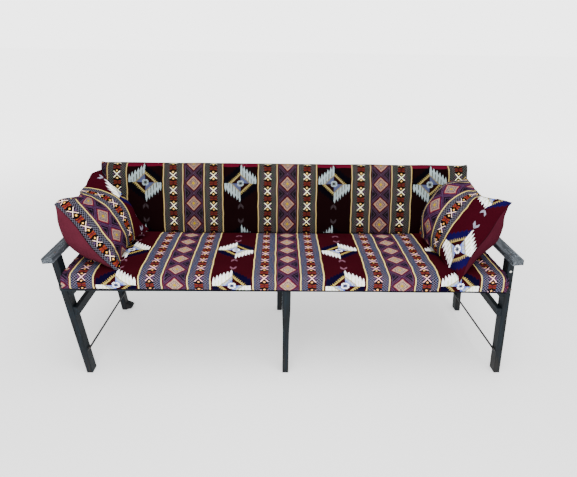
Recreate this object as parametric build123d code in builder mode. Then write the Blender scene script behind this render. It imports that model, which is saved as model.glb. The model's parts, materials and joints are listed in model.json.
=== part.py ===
from build123d import *
import math
import os

os.makedirs("parts", exist_ok=True)

# All sizes are in millimetres. The front faces -Y, +X is the right-hand end seen
# from the front, and the origin lies on the floor under the middle of the bench.

# Legs: two frames at the ends lean to one side, a third stands upright in the middle
end_frame_offset = 878
end_lean = 5.2
leg_width = 26
leg_depth = 45
rear_leg_setback = 33
edge_round = 3
foot_chamfer = 2
middle_leg_top_width = 34
middle_taper_start = 320
middle_taper_end = 200
middle_rear_shift = -25
toe_length = 28
toe_height = 30
toe_shape = ((0.7, 0.2), (1, 0.5), (0.7, 0.8))
toe_root_rise = 1.3

# Seat frame
seat_frame_top = 425
bearer_thickness = 18
bearer_depth = 40
front_rail_thickness = 18
front_rail_drop = 9
rear_rail_thickness = 18
rear_rail_depth = 44
slat_thickness = 18
slat_gap = 15
slat_count = 5
slat_inset = 5
slat_rear_gap = 44
slat_clearance = 4

# Arms, stretchers and tie rods
arm_top = 563
arm_width = 42
arm_thickness = 22
arm_front_overhang = 27
arm_rear_overhang = 18
arm_shift = 10
stretcher_thickness = 18
stretcher_depth = 36
stretcher_gap = 57
rod_diameter = 8
rod_front_height = 112
rod_rear_height = 96
rod_clearance = 0.2
tab_length = 26
tab_width = 12
tab_thickness = 3

# Seat pad: a foam block in a cover whose front hangs over the rail as an apron
seat_front_pad = 41
seat_rear_pad = 34
seat_crown = 7
seat_front_round = 15
seat_end_round = 9
apron_thickness = 10
apron_drop = 22
apron_end_gap = 4
apron_shift = -6
apron_bulge = 3
pad_clearance = 3
pad_leg_gap = 1
junction_depth = 452
junction_gap = 2
cover_thickness = 2.5
foam_inset = 12

# Back: a reclined frame with its own pad
recline = 15.4
back_length = 313
back_end_gap = 21
back_drop = 22
back_pad_thickness = 30
back_crown = 5
back_top_round = 13
back_end_round = 7
back_slat_thickness = 15
back_slat_width = 66
back_slat_pitch = 122
back_slat_count = 3
back_post_width = 30
back_post_depth = 32
back_post_drop = 30
back_post_rise = 8
lip_thickness = 5
lip_drop = 18

# Loose cushions leaning on the arms
cushion_size = 336
cushion_face_fullness = 66
cushion_back_fullness = 150
cushion_seam = 3
cushion_draw = 11
cushion_cover = 2
cushion_crown = ((-1, 0.1), (-0.8, 0.56), (-0.42, 0.9), (0, 1), (0.42, 0.9), (0.8, 0.56), (1, 0.1))
left_tilt = 57
left_turn = -6.5
left_roll = 4.4
left_depth = 192
left_lift = 1
left_arm_gap = 3
right_tilt = 62
right_turn = 11
right_roll = 5.3
right_depth = 178
right_lift = 0.2
right_arm_gap = 30

# Fasteners
screw_diameter = 5
screw_fit = 0.05
head_diameter = 9
head_height = 2.5
leg_screw_length = 38
rod_screw_length = 20
arm_screw_length = 50
face_screw_length = 30
face_screw_drop = 41
rail_screw_length = 42
slat_screw_length = 34
back_slat_screw_length = 34
post_screw_length = 42
screw_edge = 11
post_screw_edge = 9
tack_diameter = 2
tack_head = 8
tack_head_height = 1
tack_length = 9
tack_count = 24

# Places worked out from the sizes above
slope = math.tan(math.radians(end_lean))
sine = math.sin(math.radians(recline))
cosine = math.cos(math.radians(recline))
half_leg = leg_width / 2
arm_bottom = arm_top - arm_thickness
seat_deck = seat_frame_top + slat_thickness
seat_front_height = seat_deck + seat_front_pad
seat_rear_height = seat_deck + seat_rear_pad
apron_bottom = seat_deck - apron_drop
front_rail_bottom = seat_frame_top - front_rail_drop
bearer_bottom = seat_frame_top - bearer_depth
stretcher_top = bearer_bottom - stretcher_gap
stretcher_bottom = stretcher_top - stretcher_depth
back_post_low = bearer_bottom + back_post_rise
back_half_width = end_frame_offset - back_end_gap
apron_half_width = end_frame_offset - apron_end_gap
face_screw_height = arm_bottom - face_screw_drop
nearly = 0.9
post_front = back_pad_thickness + back_slat_thickness
post_rear = post_front + back_post_depth
post_middle = (post_front + post_rear) / 2
post_top = back_length - back_post_drop
front_reach = front_rail_thickness + apron_thickness + apron_bulge
rear_reach = junction_depth + post_top * sine + post_rear * cosine
leg_front = (front_reach - rear_reach) / 2
leg_back = leg_front + leg_depth
leg_pitch = junction_depth + rear_leg_setback
rear_leg_front = leg_front + leg_pitch
rear_leg_back = rear_leg_front + leg_depth
leg_middles = (leg_front + leg_depth / 2, rear_leg_front + leg_depth / 2)
junction_y = leg_front + junction_depth
lean_pivot = (arm_top + (arm_shift + arm_width / 2 - half_leg) / slope) / 2


def lean_at(height, lean=slope):
    """Sideways shift of a leaning frame at a height above the floor."""
    return lean * (lean_pivot - height)


def upright_section(x_low, x_high, z_low, z_high, lean):
    """Front view of a member: its sides follow the lean and its ends are level."""
    return [
        (x_low + lean_at(z_low, lean), z_low),
        (x_high + lean_at(z_low, lean), z_low),
        (x_high + lean_at(z_high, lean), z_high),
        (x_low + lean_at(z_high, lean), z_high),
    ]


def side_face(x, y, z, lean, side):
    """Plane on a leaning side face at (y, z), looking out to one side."""
    return Plane(origin=(x + lean_at(z, lean), y, z), x_dir=(0, 1, 0), z_dir=(side, 0, side * lean))


def reclined(along, behind):
    """Point in side view, up the slope of the back and behind its front face."""
    return (
        junction_y + along * sine + behind * cosine,
        seat_rear_height + along * cosine - behind * sine,
    )


def slope_reach(height, behind):
    """Way up the slope of the back at which a line behind its face is at a height."""
    return (height - seat_rear_height + behind * sine) / cosine


def seat_top(y):
    """Height of the crowned seat at a depth."""
    front = leg_front - front_rail_thickness - apron_thickness + seat_front_round
    rear = junction_y - junction_gap
    chord = math.hypot(rear - front, seat_rear_height - seat_front_height)
    radius = (chord**2 / 4 + seat_crown**2) / (2 * seat_crown)
    share = (y - front) / (rear - front)
    line = seat_front_height + share * (seat_rear_height - seat_front_height)
    reach = (share - 0.5) * chord
    return line + math.sqrt(radius**2 - reach**2) - (radius - seat_crown)


def drill(planes, length, sunk=True):
    """Holes for screws whose heads face out of the given planes."""
    for plane in planes:
        with Locations(plane):
            if sunk:
                Hole(head_diameter / 2 + screw_fit, depth=head_height)
            Hole(screw_diameter / 2 + screw_fit, depth=length)


def finish(piece, name):
    """Label a finished piece and write it to its own file."""
    piece.label = name
    export_step(piece, f"parts/{name}.step")


def arrises(piece, direction):
    """The long edges of a timber that runs roughly along a direction."""
    return piece.edges().filter_by(lambda edge: abs((edge % 0.5).dot(Vector(*direction))) > nearly)


def make_screws(name, planes, length, sunk=True):
    """One node of screws, each a head and a shank."""
    with BuildPart() as screws:
        for plane in planes:
            face = plane if sunk else plane.offset(head_height)
            with BuildSketch(face):
                Circle(head_diameter / 2)
            extrude(amount=-head_height)
            with BuildSketch(face):
                Circle(screw_diameter / 2)
            extrude(amount=-length if sunk else -length - head_height)
    finish(screws.part, name)


def make_bar(name, section, y_low, y_high, holes, direction=None, toe=None):
    """A timber with the given front view, running from one depth to another."""
    with BuildPart() as bar:
        with BuildSketch(Plane.XZ.offset(-y_low)):
            with BuildLine():
                Polyline(*section, close=True)
            make_face()
        extrude(amount=y_low - y_high)
        if direction:
            fillet(arrises(bar, direction), edge_round)
        if y_high - y_low == leg_depth:
            chamfer(bar.faces().sort_by(Axis.Z)[0].edges(), foot_chamfer)
        if toe:
            with BuildSketch(Plane.XZ.offset(-y_low - edge_round)):
                with BuildLine():
                    Polyline(*toe, close=True)
                make_face()
            extrude(amount=y_low - y_high + 2 * edge_round)
        for planes, length, sunk in holes:
            drill(planes, length, sunk)
    finish(bar.part, name)


def make_board(name, plane, middle, width, height, thickness, direction, holes):
    """A board drawn on a plane about a middle point and extruded towards its normal."""
    with BuildPart() as board:
        with BuildSketch(plane):
            with Locations(middle):
                Rectangle(width, height)
        extrude(amount=thickness)
        fillet(arrises(board, direction), edge_round / 2)
        for planes, length, sunk in holes:
            drill(planes, length, sunk)
    finish(board.part, name)


# Frames. Each has the side that faces the middle of the bench, its lean, and the
# places of its legs, bearer and back post across the width.
def end_frame(name, side):
    """Places of the pieces in an end frame, from its outer side towards the middle."""
    x = -side * end_frame_offset
    inner = x + side * half_leg
    return {
        "name": name, "side": side, "lean": slope, "leg": x, "rear_leg": x,
        "outer": x - side * half_leg, "inner": inner,
        "bearer": sorted((inner, inner + side * bearer_thickness)),
        "stretcher": sorted((inner, inner + side * stretcher_thickness)),
        "post": sorted((inner + side * bearer_thickness,
                        inner + side * (bearer_thickness + back_post_width))),
        "post_face": inner + side * (bearer_thickness + back_post_width),
        "legs_top": arm_bottom,
    }


middle_x = lean_at(seat_rear_height)
middle_rear = middle_x + middle_rear_shift
middle_inner = middle_rear + half_leg
frames = [
    end_frame("left", 1),
    end_frame("right", -1),
    {
        "name": "middle", "side": 1, "lean": 0, "leg": middle_x, "rear_leg": middle_rear,
        "outer": middle_rear - half_leg, "inner": middle_inner,
        "bearer": (middle_inner, middle_inner + bearer_thickness),
        "post": (middle_inner + bearer_thickness, middle_inner + bearer_thickness + back_post_width),
        "post_face": middle_inner + bearer_thickness + back_post_width,
        "legs_top": seat_frame_top,
    },
]

# Screws, each a plane on the face that its head lies in
rail_top = seat_deck
rail_middle_height = (front_rail_bottom + rail_top) / 2
rear_rail_middle = seat_frame_top - rear_rail_depth / 2
back_plane = Plane(origin=(0, junction_y, seat_rear_height), x_dir=(1, 0, 0), z_dir=(0, -cosine, sine))
back_slat_middles = [
    back_length - lip_thickness - back_slat_width / 2 - back_slat_pitch * (back_slat_count - 1 - i)
    for i in range(back_slat_count)
]
back_middle_x = lean_at(seat_rear_height)
tack_half_run = back_half_width - 2 * back_end_round - tack_head
tack_planes = [
    Plane(
        origin=back_plane.from_local_coords((
            back_middle_x - tack_half_run + 2 * tack_half_run * i / (tack_count - 1),
            back_length - lip_drop / 2 - lip_thickness / 2, -post_front - cover_thickness,
        )),
        x_dir=(1, 0, 0), z_dir=-back_plane.z_dir,
    )
    for i in range(tack_count)
]
slats_front = leg_back + slat_inset
slats_rear = reclined(slope_reach(seat_frame_top, post_front), post_front)[0] - slat_rear_gap
slat_pitch = (slats_rear - slats_front + slat_gap) / slat_count
slat_width = slat_pitch - slat_gap
slat_middles = [slats_front + slat_width / 2 + i * slat_pitch for i in range(slat_count)]
leg_screws, rod_screws, arm_screws, post_screws = [], [], [], []
rail_screws, rear_rail_screws, slat_screws, back_slat_screws = [], [], [], []

for frame in frames:
    lean, side = frame["lean"], frame["side"]
    bearer_x = sum(frame["bearer"]) / 2
    post_x = sum(frame["post"]) / 2
    is_end = lean != 0
    frame["leg_screws"] = []
    for middle in leg_middles if is_end else leg_middles[1:]:
        for height in (bearer_bottom + screw_edge, seat_frame_top - screw_edge):
            frame["leg_screws"].append(side_face(frame["outer"], middle, height, lean, -side))
        if is_end:
            frame["leg_screws"].append(
                side_face(frame["outer"], middle, (stretcher_top + stretcher_bottom) / 2, lean, -side)
            )
    leg_screws += frame["leg_screws"]
    frame["post_screws"] = []
    for height in (back_post_low + post_screw_edge, seat_frame_top - post_screw_edge):
        depth = reclined(slope_reach(height, post_middle), post_middle)[0]
        frame["post_screws"].append(side_face(frame["post_face"], depth, height, lean, side))
    post_screws += frame["post_screws"]
    frame["tabs"] = []
    if is_end:
        frame["tabs"] = [
            side_face(frame["inner"], middle, height, lean, side)
            for middle, height in zip(leg_middles, (rod_front_height, rod_rear_height))
        ]
    frame["rod_screws"] = [tab.offset(tab_thickness) for tab in frame["tabs"]]
    rod_screws += frame["rod_screws"]
    front_x = frame["leg"] + lean_at(rail_middle_height, lean)
    rail_screws.append(Plane(
        origin=(front_x, leg_front - front_rail_thickness, rail_middle_height),
        x_dir=(1, 0, 0), z_dir=(0, -1, 0),
    ))
    rear_x = frame["rear_leg"] + lean_at(rear_rail_middle, lean)
    rear_rail_screws.append(Plane(
        origin=(rear_x, rear_leg_back + rear_rail_thickness, rear_rail_middle),
        x_dir=(1, 0, 0), z_dir=(0, 1, 0),
    ))
    slat_x = bearer_x + lean_at(seat_deck, lean)
    slat_screws += [Plane(origin=(slat_x, y, seat_deck), z_dir=(0, 0, 1)) for y in slat_middles]
    for along in back_slat_middles:
        height = seat_rear_height + along * cosine - back_pad_thickness * sine
        back_slat_screws.append(Plane(
            origin=back_plane.from_local_coords((post_x + lean_at(height, lean), along, -back_pad_thickness)),
            x_dir=(1, 0, 0), z_dir=back_plane.z_dir,
        ))

right_leg_face = frames[1]["leg"] + lean_at(face_screw_height)
face_screws = [
    Plane(origin=(right_leg_face, leg_front, face_screw_height), x_dir=(1, 0, 0), z_dir=(0, -1, 0))
]

# Legs, seat bearers and back posts of all three frames
for frame in frames:
    lean, side = frame["lean"], frame["side"]
    name = frame["name"]
    is_end = lean != 0
    frame["arm_middles"] = []
    top_middle = frame["leg"] + lean_at(frame["legs_top"], lean)
    top_step = half_leg / (1 + lean**2)
    for place, y_low, x in (("front", leg_front, frame["leg"]), ("rear", rear_leg_front, frame["rear_leg"])):
        middle = y_low + leg_depth / 2
        half_top = middle_leg_top_width / 2
        if is_end:
            section = upright_section(x - half_leg, x + half_leg, 0, arm_bottom, lean)
            section[2] = (top_middle + top_step, arm_bottom + top_step * lean)
            section[3] = (top_middle - top_step, arm_bottom - top_step * lean)
            screw = Plane(
                origin=(top_middle - lean * arm_thickness, middle, arm_top),
                x_dir=(1, 0, lean), z_dir=(-lean, 0, 1),
            )
            frame["arm_middles"].append(screw)
            arm_screws.append(screw)
        elif place == "front":
            section = [
                (x - half_leg, 0), (x + half_leg, 0), (x + half_leg, middle_taper_end),
                (x + half_top, middle_taper_start), (x + half_top, seat_frame_top),
                (x - half_top, seat_frame_top), (x - half_top, middle_taper_start),
                (x - half_leg, middle_taper_end),
            ]
        else:
            section = upright_section(x - half_leg, x + half_leg, 0, seat_frame_top, lean)
        holes = [
            (frame["leg_screws"], leg_screw_length, True),
            (frame["arm_middles"][-1:], arm_screw_length, False) if is_end else ([], 0, False),
            (rail_screws if place == "front" else rear_rail_screws, rail_screw_length, False),
            (frame["rod_screws"], rod_screw_length, False),
            (face_screws, face_screw_length, True),
        ]
        toe = None
        if name == "left" and place == "rear":
            sole = x + half_leg + lean_at(0, lean)
            tip = [(sole + along * toe_length, rise * toe_height) for along, rise in toe_shape]
            toe = [(sole - half_leg, foot_chamfer), *tip, (sole - half_leg, toe_root_rise * toe_height)]
        make_bar(f"{name}_{place}_leg", section, y_low, y_low + leg_depth, holes, (0, 0, 1), toe)

    bearer_y = (leg_front + edge_round if is_end else leg_back, rear_leg_back - edge_round)
    make_bar(
        f"{name}_seat_bearer",
        upright_section(*frame["bearer"], bearer_bottom, seat_frame_top, lean), *bearer_y,
        [(frame["leg_screws"], leg_screw_length, True), (frame["post_screws"], post_screw_length, True),
         (slat_screws, slat_screw_length, True)],
    )
    if is_end:
        make_bar(
            f"{name}_stretcher",
            upright_section(*frame["stretcher"], stretcher_bottom, stretcher_top, lean), *bearer_y,
            [(frame["leg_screws"], leg_screw_length, True)], (0, 1, 0),
        )

    outline = [
        reclined(slope_reach(back_post_low, post_front), post_front),
        reclined(slope_reach(back_post_low, post_rear), post_rear),
        reclined(post_top, post_rear),
        reclined(post_top, post_front),
    ]
    with BuildPart() as post:
        with BuildSketch(Plane.YZ):
            with BuildLine():
                Polyline(*outline, close=True)
            make_face()
        extrude(amount=end_frame_offset * 2, both=True)
        with BuildSketch(Plane.XZ):
            with BuildLine():
                Polyline(*upright_section(*frame["post"], 0, arm_top * 2, lean), close=True)
            make_face()
        extrude(amount=rear_reach * 2, both=True, mode=Mode.INTERSECT)
        fillet(arrises(post, (0, sine, cosine)), edge_round)
        drill(frame["post_screws"], post_screw_length)
        drill(back_slat_screws, back_slat_screw_length)
    finish(post.part, f"{name}_back_post")

# Arms: flat boards laid on the leaning legs, square to them
arm_length = arm_front_overhang + leg_pitch + leg_depth + arm_rear_overhang
for frame in frames[:2]:
    side, lean = frame["side"], frame["lean"]
    top_middle = frame["leg"] + lean_at(arm_bottom, lean)
    frame["arm_plane"] = Plane(
        origin=(top_middle, leg_front - arm_front_overhang, arm_bottom), x_dir=(1, 0, lean), z_dir=(0, -1, 0),
    )
    make_board(
        f"{frame['name']}_arm", frame["arm_plane"], (-side * arm_shift, arm_thickness / 2),
        arm_width, arm_thickness, -arm_length, (0, 1, 0), [(frame["arm_middles"], arm_screw_length, True)],
    )

# Tie rods: round iron between the legs, each end flattened into a tab and screwed on
for frame in frames[:2]:
    side, lean = frame["side"], frame["lean"]
    axis_offset = rod_diameter / 2 + rod_clearance
    ends = [tab.offset(axis_offset).origin for tab in frame["tabs"]]
    run = ends[1] - ends[0]
    start = ends[0] + run.normalized() * (head_diameter / 2 + edge_round)
    with BuildPart() as rod:
        with BuildSketch(Plane(origin=start, z_dir=run)):
            Circle(rod_diameter / 2)
        extrude(amount=run.length - head_diameter - 2 * edge_round)
        for tab in frame["tabs"]:
            with BuildSketch(tab):
                SlotOverall(tab_length, tab_width)
            extrude(amount=tab_thickness)
        drill(frame["rod_screws"], rod_screw_length, False)
    finish(rod.part, f"{frame['name']}_tie_rod")

# Lengthwise rails and seat slats
with BuildPart() as front_rail:
    with BuildSketch(Plane.XZ.offset(-leg_front)):
        with Locations((lean_at(rail_middle_height) + apron_shift / 2, rail_middle_height)):
            Rectangle(2 * end_frame_offset, rail_top - front_rail_bottom)
    extrude(amount=front_rail_thickness)
    fillet(arrises(front_rail, (1, 0, 0)), edge_round / 2)
    drill(rail_screws, rail_screw_length)
finish(front_rail.part, "front_rail")

with BuildPart() as rear_rail:
    with BuildSketch(Plane.XZ.offset(-rear_leg_back)):
        with Locations((lean_at(rear_rail_middle), rear_rail_middle)):
            Rectangle(2 * end_frame_offset, rear_rail_depth)
    extrude(amount=-rear_rail_thickness)
    fillet(arrises(rear_rail, (1, 0, 0)), edge_round / 2)
    drill(rear_rail_screws, rail_screw_length)
finish(rear_rail.part, "rear_rail")

slat_middle_height = seat_frame_top + slat_thickness / 2
slat_half = end_frame_offset - half_leg - slat_clearance - slope * slat_thickness / 2
for number, y in enumerate(slat_middles, start=1):
    make_board(
        f"seat_slat_{number}", Plane.XY.offset(seat_frame_top), (lean_at(slat_middle_height), y),
        2 * slat_half, slat_width, slat_thickness, (1, 0, 0), [(slat_screws, slat_screw_length, True)],
    )

# Back slats, laid on the front of the reclined posts. The top one holds the cover's tacks
for number, along in enumerate(back_slat_middles, start=1):
    with BuildPart() as back_slat:
        with BuildSketch(back_plane.offset(-post_front)):
            with Locations((back_middle_x, along)):
                Rectangle(2 * back_half_width - 2 * back_end_round, back_slat_width)
        extrude(amount=back_slat_thickness)
        fillet(arrises(back_slat, (1, 0, 0)), edge_round / 2)
        drill(back_slat_screws, back_slat_screw_length)
        if number == back_slat_count:
            with Locations(*tack_planes):
                Hole(tack_diameter / 2 + screw_fit, depth=tack_length)
    finish(back_slat.part, f"back_slat_{number}")

# Screws
make_screws("leg_screws", leg_screws, leg_screw_length)
make_screws("arm_screws", arm_screws, arm_screw_length)
make_screws("tie_rod_screws", rod_screws, rod_screw_length, sunk=False)
make_screws("rail_screws", rail_screws + rear_rail_screws, rail_screw_length)
make_screws("slat_screws", slat_screws, slat_screw_length)
make_screws("back_slat_screws", back_slat_screws, back_slat_screw_length)
make_screws("back_post_screws", post_screws, post_screw_length)
make_screws("leg_face_screw", face_screws, face_screw_length)

with BuildPart() as cover_tacks:
    for plane in tack_planes:
        with BuildSketch(plane):
            Circle(tack_head / 2)
        extrude(amount=tack_head_height)
        with BuildSketch(plane):
            Circle(tack_diameter / 2)
        extrude(amount=-tack_length)
finish(cover_tacks.part, "cover_tacks")

# Seat pad. Its side view is an L: the crowned pad on the slats, and the apron in front
apron_front = leg_front - front_rail_thickness - apron_thickness
rail_face = leg_front - front_rail_thickness
seat_rear_y = junction_y - junction_gap
deck_rear_y = seat_rear_y - (seat_rear_height - seat_deck) * sine / cosine
pad_half = end_frame_offset - half_leg - pad_clearance - slope * (seat_front_height - seat_deck) / 2
pad_middle = lean_at((seat_front_height + seat_deck) / 2)
crown_middle = (apron_front + seat_front_round + seat_rear_y) / 2


def seat_section(inset):
    """Side view of the pad on the slats, drawn in by an inset on every side."""
    front = apron_front + inset
    top = seat_front_height - inset
    bend = seat_front_round - inset
    turn = bend * (1 - math.sqrt(0.5))
    rear_top = (seat_rear_y - inset, seat_rear_height - inset)
    Line((front, seat_deck + inset), (front, top - bend))
    ThreePointArc((front, top - bend), (front + turn, top - turn), (front + bend, top))
    ThreePointArc((front + bend, top), (crown_middle, seat_top(crown_middle) - inset), rear_top)
    Line(rear_top, (deck_rear_y - inset, seat_deck + inset))
    Line((deck_rear_y - inset, seat_deck + inset), (front, seat_deck + inset))


with BuildPart() as seat_foam:
    with BuildSketch(Plane.YZ.offset(pad_middle)):
        with BuildLine():
            seat_section(cover_thickness)
        make_face()
    extrude(amount=pad_half - foam_inset, both=True)
finish(seat_foam.part, "seat_foam")

with BuildPart() as seat_cover:
    with BuildSketch(Plane.YZ.offset(pad_middle)):
        with BuildLine():
            seat_section(0)
        make_face()
    extrude(amount=pad_half, both=True)
    end_edges = seat_cover.edges().filter_by(
        lambda edge: abs(abs((edge @ 0.5).X - pad_middle) - pad_half) < edge_round
        and abs((edge @ 0.5).Z - seat_top((edge @ 0.5).Y)) < screw_fit
    )
    fillet(end_edges, seat_end_round)
    with BuildSketch(Plane.YZ.offset(pad_middle + apron_shift)):
        with BuildLine():
            lip = seat_front_height - seat_front_round
            Line((rail_face, apron_bottom), (apron_front, apron_bottom))
            turn = seat_front_round * (1 - math.sqrt(0.5))
            belly = (apron_front - apron_bulge, (apron_bottom + lip) / 2)
            ThreePointArc((apron_front, apron_bottom), belly, (apron_front, lip))
            ThreePointArc(
                (apron_front, lip), (apron_front + turn, seat_front_height - turn),
                (apron_front + seat_front_round, seat_front_height),
            )
            pad_rear = leg_front - pad_leg_gap
            Polyline(
                (apron_front + seat_front_round, seat_front_height), (pad_rear, seat_front_height),
                (pad_rear, seat_deck), (rail_face, seat_deck), (rail_face, apron_bottom),
            )
        make_face()
    extrude(amount=apron_half_width, both=True)
    add(seat_foam.part, mode=Mode.SUBTRACT)
finish(seat_cover.part, "seat_cover")

# Back pad on the slats, its cover folded over the top slat
back_section_plane = Plane(
    origin=(back_middle_x, junction_y, seat_rear_height), x_dir=(0, sine, cosine), z_dir=(1, 0, 0)
)


def back_section(inset):
    """Side view of the back pad, along the slope and towards the front."""
    low = -back_drop + inset
    high = back_length - inset
    rear = -back_pad_thickness + inset
    bend = back_top_round - inset
    turn = bend * (1 - math.sqrt(0.5))
    front = -inset
    Line((low, rear), (low, front))
    ThreePointArc((low, front), ((low + high) / 2, front + back_crown), (high - bend, front))
    ThreePointArc((high - bend, front), (high - turn, front - turn), (high, front - bend))
    return low, high, rear, front - bend


with BuildPart() as back_foam:
    with BuildSketch(back_section_plane):
        with BuildLine():
            low, high, rear, shoulder = back_section(cover_thickness)
            Polyline((high, shoulder), (high, rear), (low, rear))
        make_face()
    extrude(amount=back_half_width - foam_inset, both=True)
finish(back_foam.part, "back_foam")

with BuildPart() as back_cover:
    with BuildSketch(back_section_plane):
        with BuildLine():
            low, high, rear, shoulder = back_section(0)
            Polyline((high, shoulder), (high, rear), (low, rear))
        make_face()
    extrude(amount=back_half_width, both=True)
    end_edges = back_cover.edges().filter_by(
        lambda edge: abs(abs((edge @ 0.5).X - back_middle_x) - back_half_width) < edge_round
        and back_section_plane.to_local_coords(edge @ 0.5).Y > -back_top_round * nearly
    )
    fillet(end_edges, back_end_round)
    with BuildSketch(back_section_plane):
        with BuildLine():
            fold = -post_front - cover_thickness
            Polyline(
                (high, rear + lip_thickness), (high, fold + lip_thickness), (high - lip_thickness, fold),
                (high - lip_drop, fold), (high - lip_drop, -post_front),
                (high - lip_thickness, -post_front), (high - lip_thickness, rear + lip_thickness),
                close=True,
            )
        make_face()
    extrude(amount=back_half_width - back_end_round, both=True)
    add(back_foam.part, mode=Mode.SUBTRACT)
    with Locations(*tack_planes):
        Hole(tack_diameter / 2 + screw_fit, depth=tack_length)
finish(back_cover.part, "back_cover")

# Loose cushions
cushion_half = cushion_size / 2
back_radius = (cushion_half**2 + (cushion_back_fullness - cushion_seam) ** 2) / (
    2 * (cushion_back_fullness - cushion_seam)
)


def pillow(half, face_fullness, back_fullness, seam):
    """A stuffed square lying flat: crowned on both faces, its sides drawn in between the corners."""
    with BuildPart() as body:
        for share, rise in cushion_crown:
            top = seam + (face_fullness - seam) * rise
            bottom = seam + (back_fullness - seam) * rise
            with BuildSketch(Plane.XZ.offset(share * half)):
                with BuildLine():
                    ThreePointArc((-half, seam), (0, top), (half, seam))
                    Line((half, seam), (half, -seam))
                    ThreePointArc((half, -seam), (0, -bottom), (-half, -seam))
                    Line((-half, -seam), (-half, seam))
                make_face()
        loft()
        with BuildSketch():
            with BuildLine():
                waist = half - cushion_draw
                ThreePointArc((-half, -half), (0, -waist), (half, -half))
                ThreePointArc((half, -half), (waist, 0), (half, half))
                ThreePointArc((half, half), (0, waist), (-half, half))
                ThreePointArc((-half, half), (-waist, 0), (-half, -half))
            make_face()
        extrude(amount=2 * back_fullness, both=True, mode=Mode.INTERSECT)
    return body.part


def cushion_pose(frame, tilt, turn, roll, depth, lift, arm_gap):
    """Pose of a cushion that stands on the seat and leans back to the arm."""
    side = frame["side"]
    lie = Location((0, 0, 0), (0, 0, turn)) * Location((0, 0, 0), (roll, 0, 0)) * Location(
        (0, 0, 0), (0, side * tilt, 0)
    )
    angle = math.radians(tilt)
    y = leg_front + depth
    corners = [
        (lie * Location((side * cushion_half, end * cushion_half, -cushion_seam))).position for end in (-1, 1)
    ]
    drops = [seat_top(y + corner.Y) - corner.Z for corner in corners]
    belly = back_radius - (back_radius - cushion_back_fullness) * math.cos(angle)
    z = max(drops + [seat_top(y) + belly]) + lift
    edge = frame["arm_plane"].from_local_coords((side * (arm_width / 2 - arm_shift), arm_thickness, 0))
    outwards = (lie * Location((0, 0, 1))).position
    x = edge.X + (cushion_back_fullness + arm_gap - outwards.Z * (z - edge.Z)) / outwards.X
    return Location((x, y, z)) * lie


for frame, tilt, turn, roll, depth, lift, arm_gap in (
    (frames[0], left_tilt, left_turn, left_roll, left_depth, left_lift, left_arm_gap),
    (frames[1], right_tilt, right_turn, right_roll, right_depth, right_lift, right_arm_gap),
):
    pose = cushion_pose(frame, tilt, turn, roll, depth, lift, arm_gap)
    outer = pillow(cushion_half, cushion_face_fullness, cushion_back_fullness, cushion_seam)
    filling = pillow(
        cushion_half - 2 * cushion_seam, cushion_face_fullness - cushion_cover,
        cushion_back_fullness - cushion_cover, cushion_seam,
    )
    finish(filling.moved(pose), f"{frame['name']}_cushion_filling")
    with BuildPart() as cover:
        add(outer.moved(pose))
        add(filling.moved(pose), mode=Mode.SUBTRACT)
    finish(cover.part, f"{frame['name']}_cushion_cover")
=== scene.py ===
"""A low bench sofa: worn slate paint, iron tie rods, kilim pads and two loose cushions.

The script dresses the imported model. Timber, rods and fasteners keep their solids and get
worn finishes. The two pads and the two cushions are sewn here as padded cloth with a woven
pattern that is laid out in metres on the cloth itself.
"""

from __future__ import annotations

import json
import logging
import math
from dataclasses import dataclass, field, fields, replace
from enum import Enum
from typing import Callable, Iterable, Sequence, Union

import bmesh
import bpy
import numpy as np
from mathutils import Matrix, Vector, noise

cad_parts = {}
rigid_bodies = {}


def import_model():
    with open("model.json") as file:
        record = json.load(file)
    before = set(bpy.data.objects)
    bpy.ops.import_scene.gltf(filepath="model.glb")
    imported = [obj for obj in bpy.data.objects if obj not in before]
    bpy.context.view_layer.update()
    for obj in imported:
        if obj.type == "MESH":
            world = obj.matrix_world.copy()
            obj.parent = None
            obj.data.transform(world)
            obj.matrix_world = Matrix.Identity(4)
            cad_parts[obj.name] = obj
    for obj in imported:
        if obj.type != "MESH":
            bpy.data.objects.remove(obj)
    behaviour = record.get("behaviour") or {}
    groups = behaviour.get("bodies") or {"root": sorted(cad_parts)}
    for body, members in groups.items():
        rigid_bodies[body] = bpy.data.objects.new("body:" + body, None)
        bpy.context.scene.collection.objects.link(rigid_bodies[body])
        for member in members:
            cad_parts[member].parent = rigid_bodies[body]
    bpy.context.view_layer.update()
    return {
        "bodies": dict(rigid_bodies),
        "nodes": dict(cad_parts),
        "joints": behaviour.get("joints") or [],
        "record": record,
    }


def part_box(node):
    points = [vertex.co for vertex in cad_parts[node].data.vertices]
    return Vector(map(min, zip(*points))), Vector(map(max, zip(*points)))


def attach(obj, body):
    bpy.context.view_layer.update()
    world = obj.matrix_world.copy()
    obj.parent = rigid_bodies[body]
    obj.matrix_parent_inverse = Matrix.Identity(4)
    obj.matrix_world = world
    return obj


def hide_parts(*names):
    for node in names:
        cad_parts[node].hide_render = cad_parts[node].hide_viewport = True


log = logging.getLogger("bench_sofa")

CLOTH_ATTRIBUTE = "cloth"
Color = tuple[float, float, float, float]
Input = Union["Wire", bpy.types.NodeSocket, float, Sequence[float]]


class Lining(Enum):
    """Which cloth a point of a cover belongs to."""

    PATTERNED = 0.0
    HEM = 0.25
    PLAIN = 1.0


class Grain(Enum):
    """Direction in which a timber's grain runs."""

    X = (1.0, 14.0, 14.0)
    Y = (14.0, 1.0, 14.0)
    Z = (14.0, 14.0, 1.0)


def rgb(red: int, green: int, blue: int) -> Color:
    """Turns a display colour of 0 to 255 into a linear one, by the sRGB curve."""

    def linear(value: int) -> float:
        share = value / 255
        return share / 12.92 if share <= 0.04045 else ((share + 0.055) / 1.055) ** 2.4

    return (linear(red), linear(green), linear(blue), 1.0)


# Shader wiring


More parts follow.
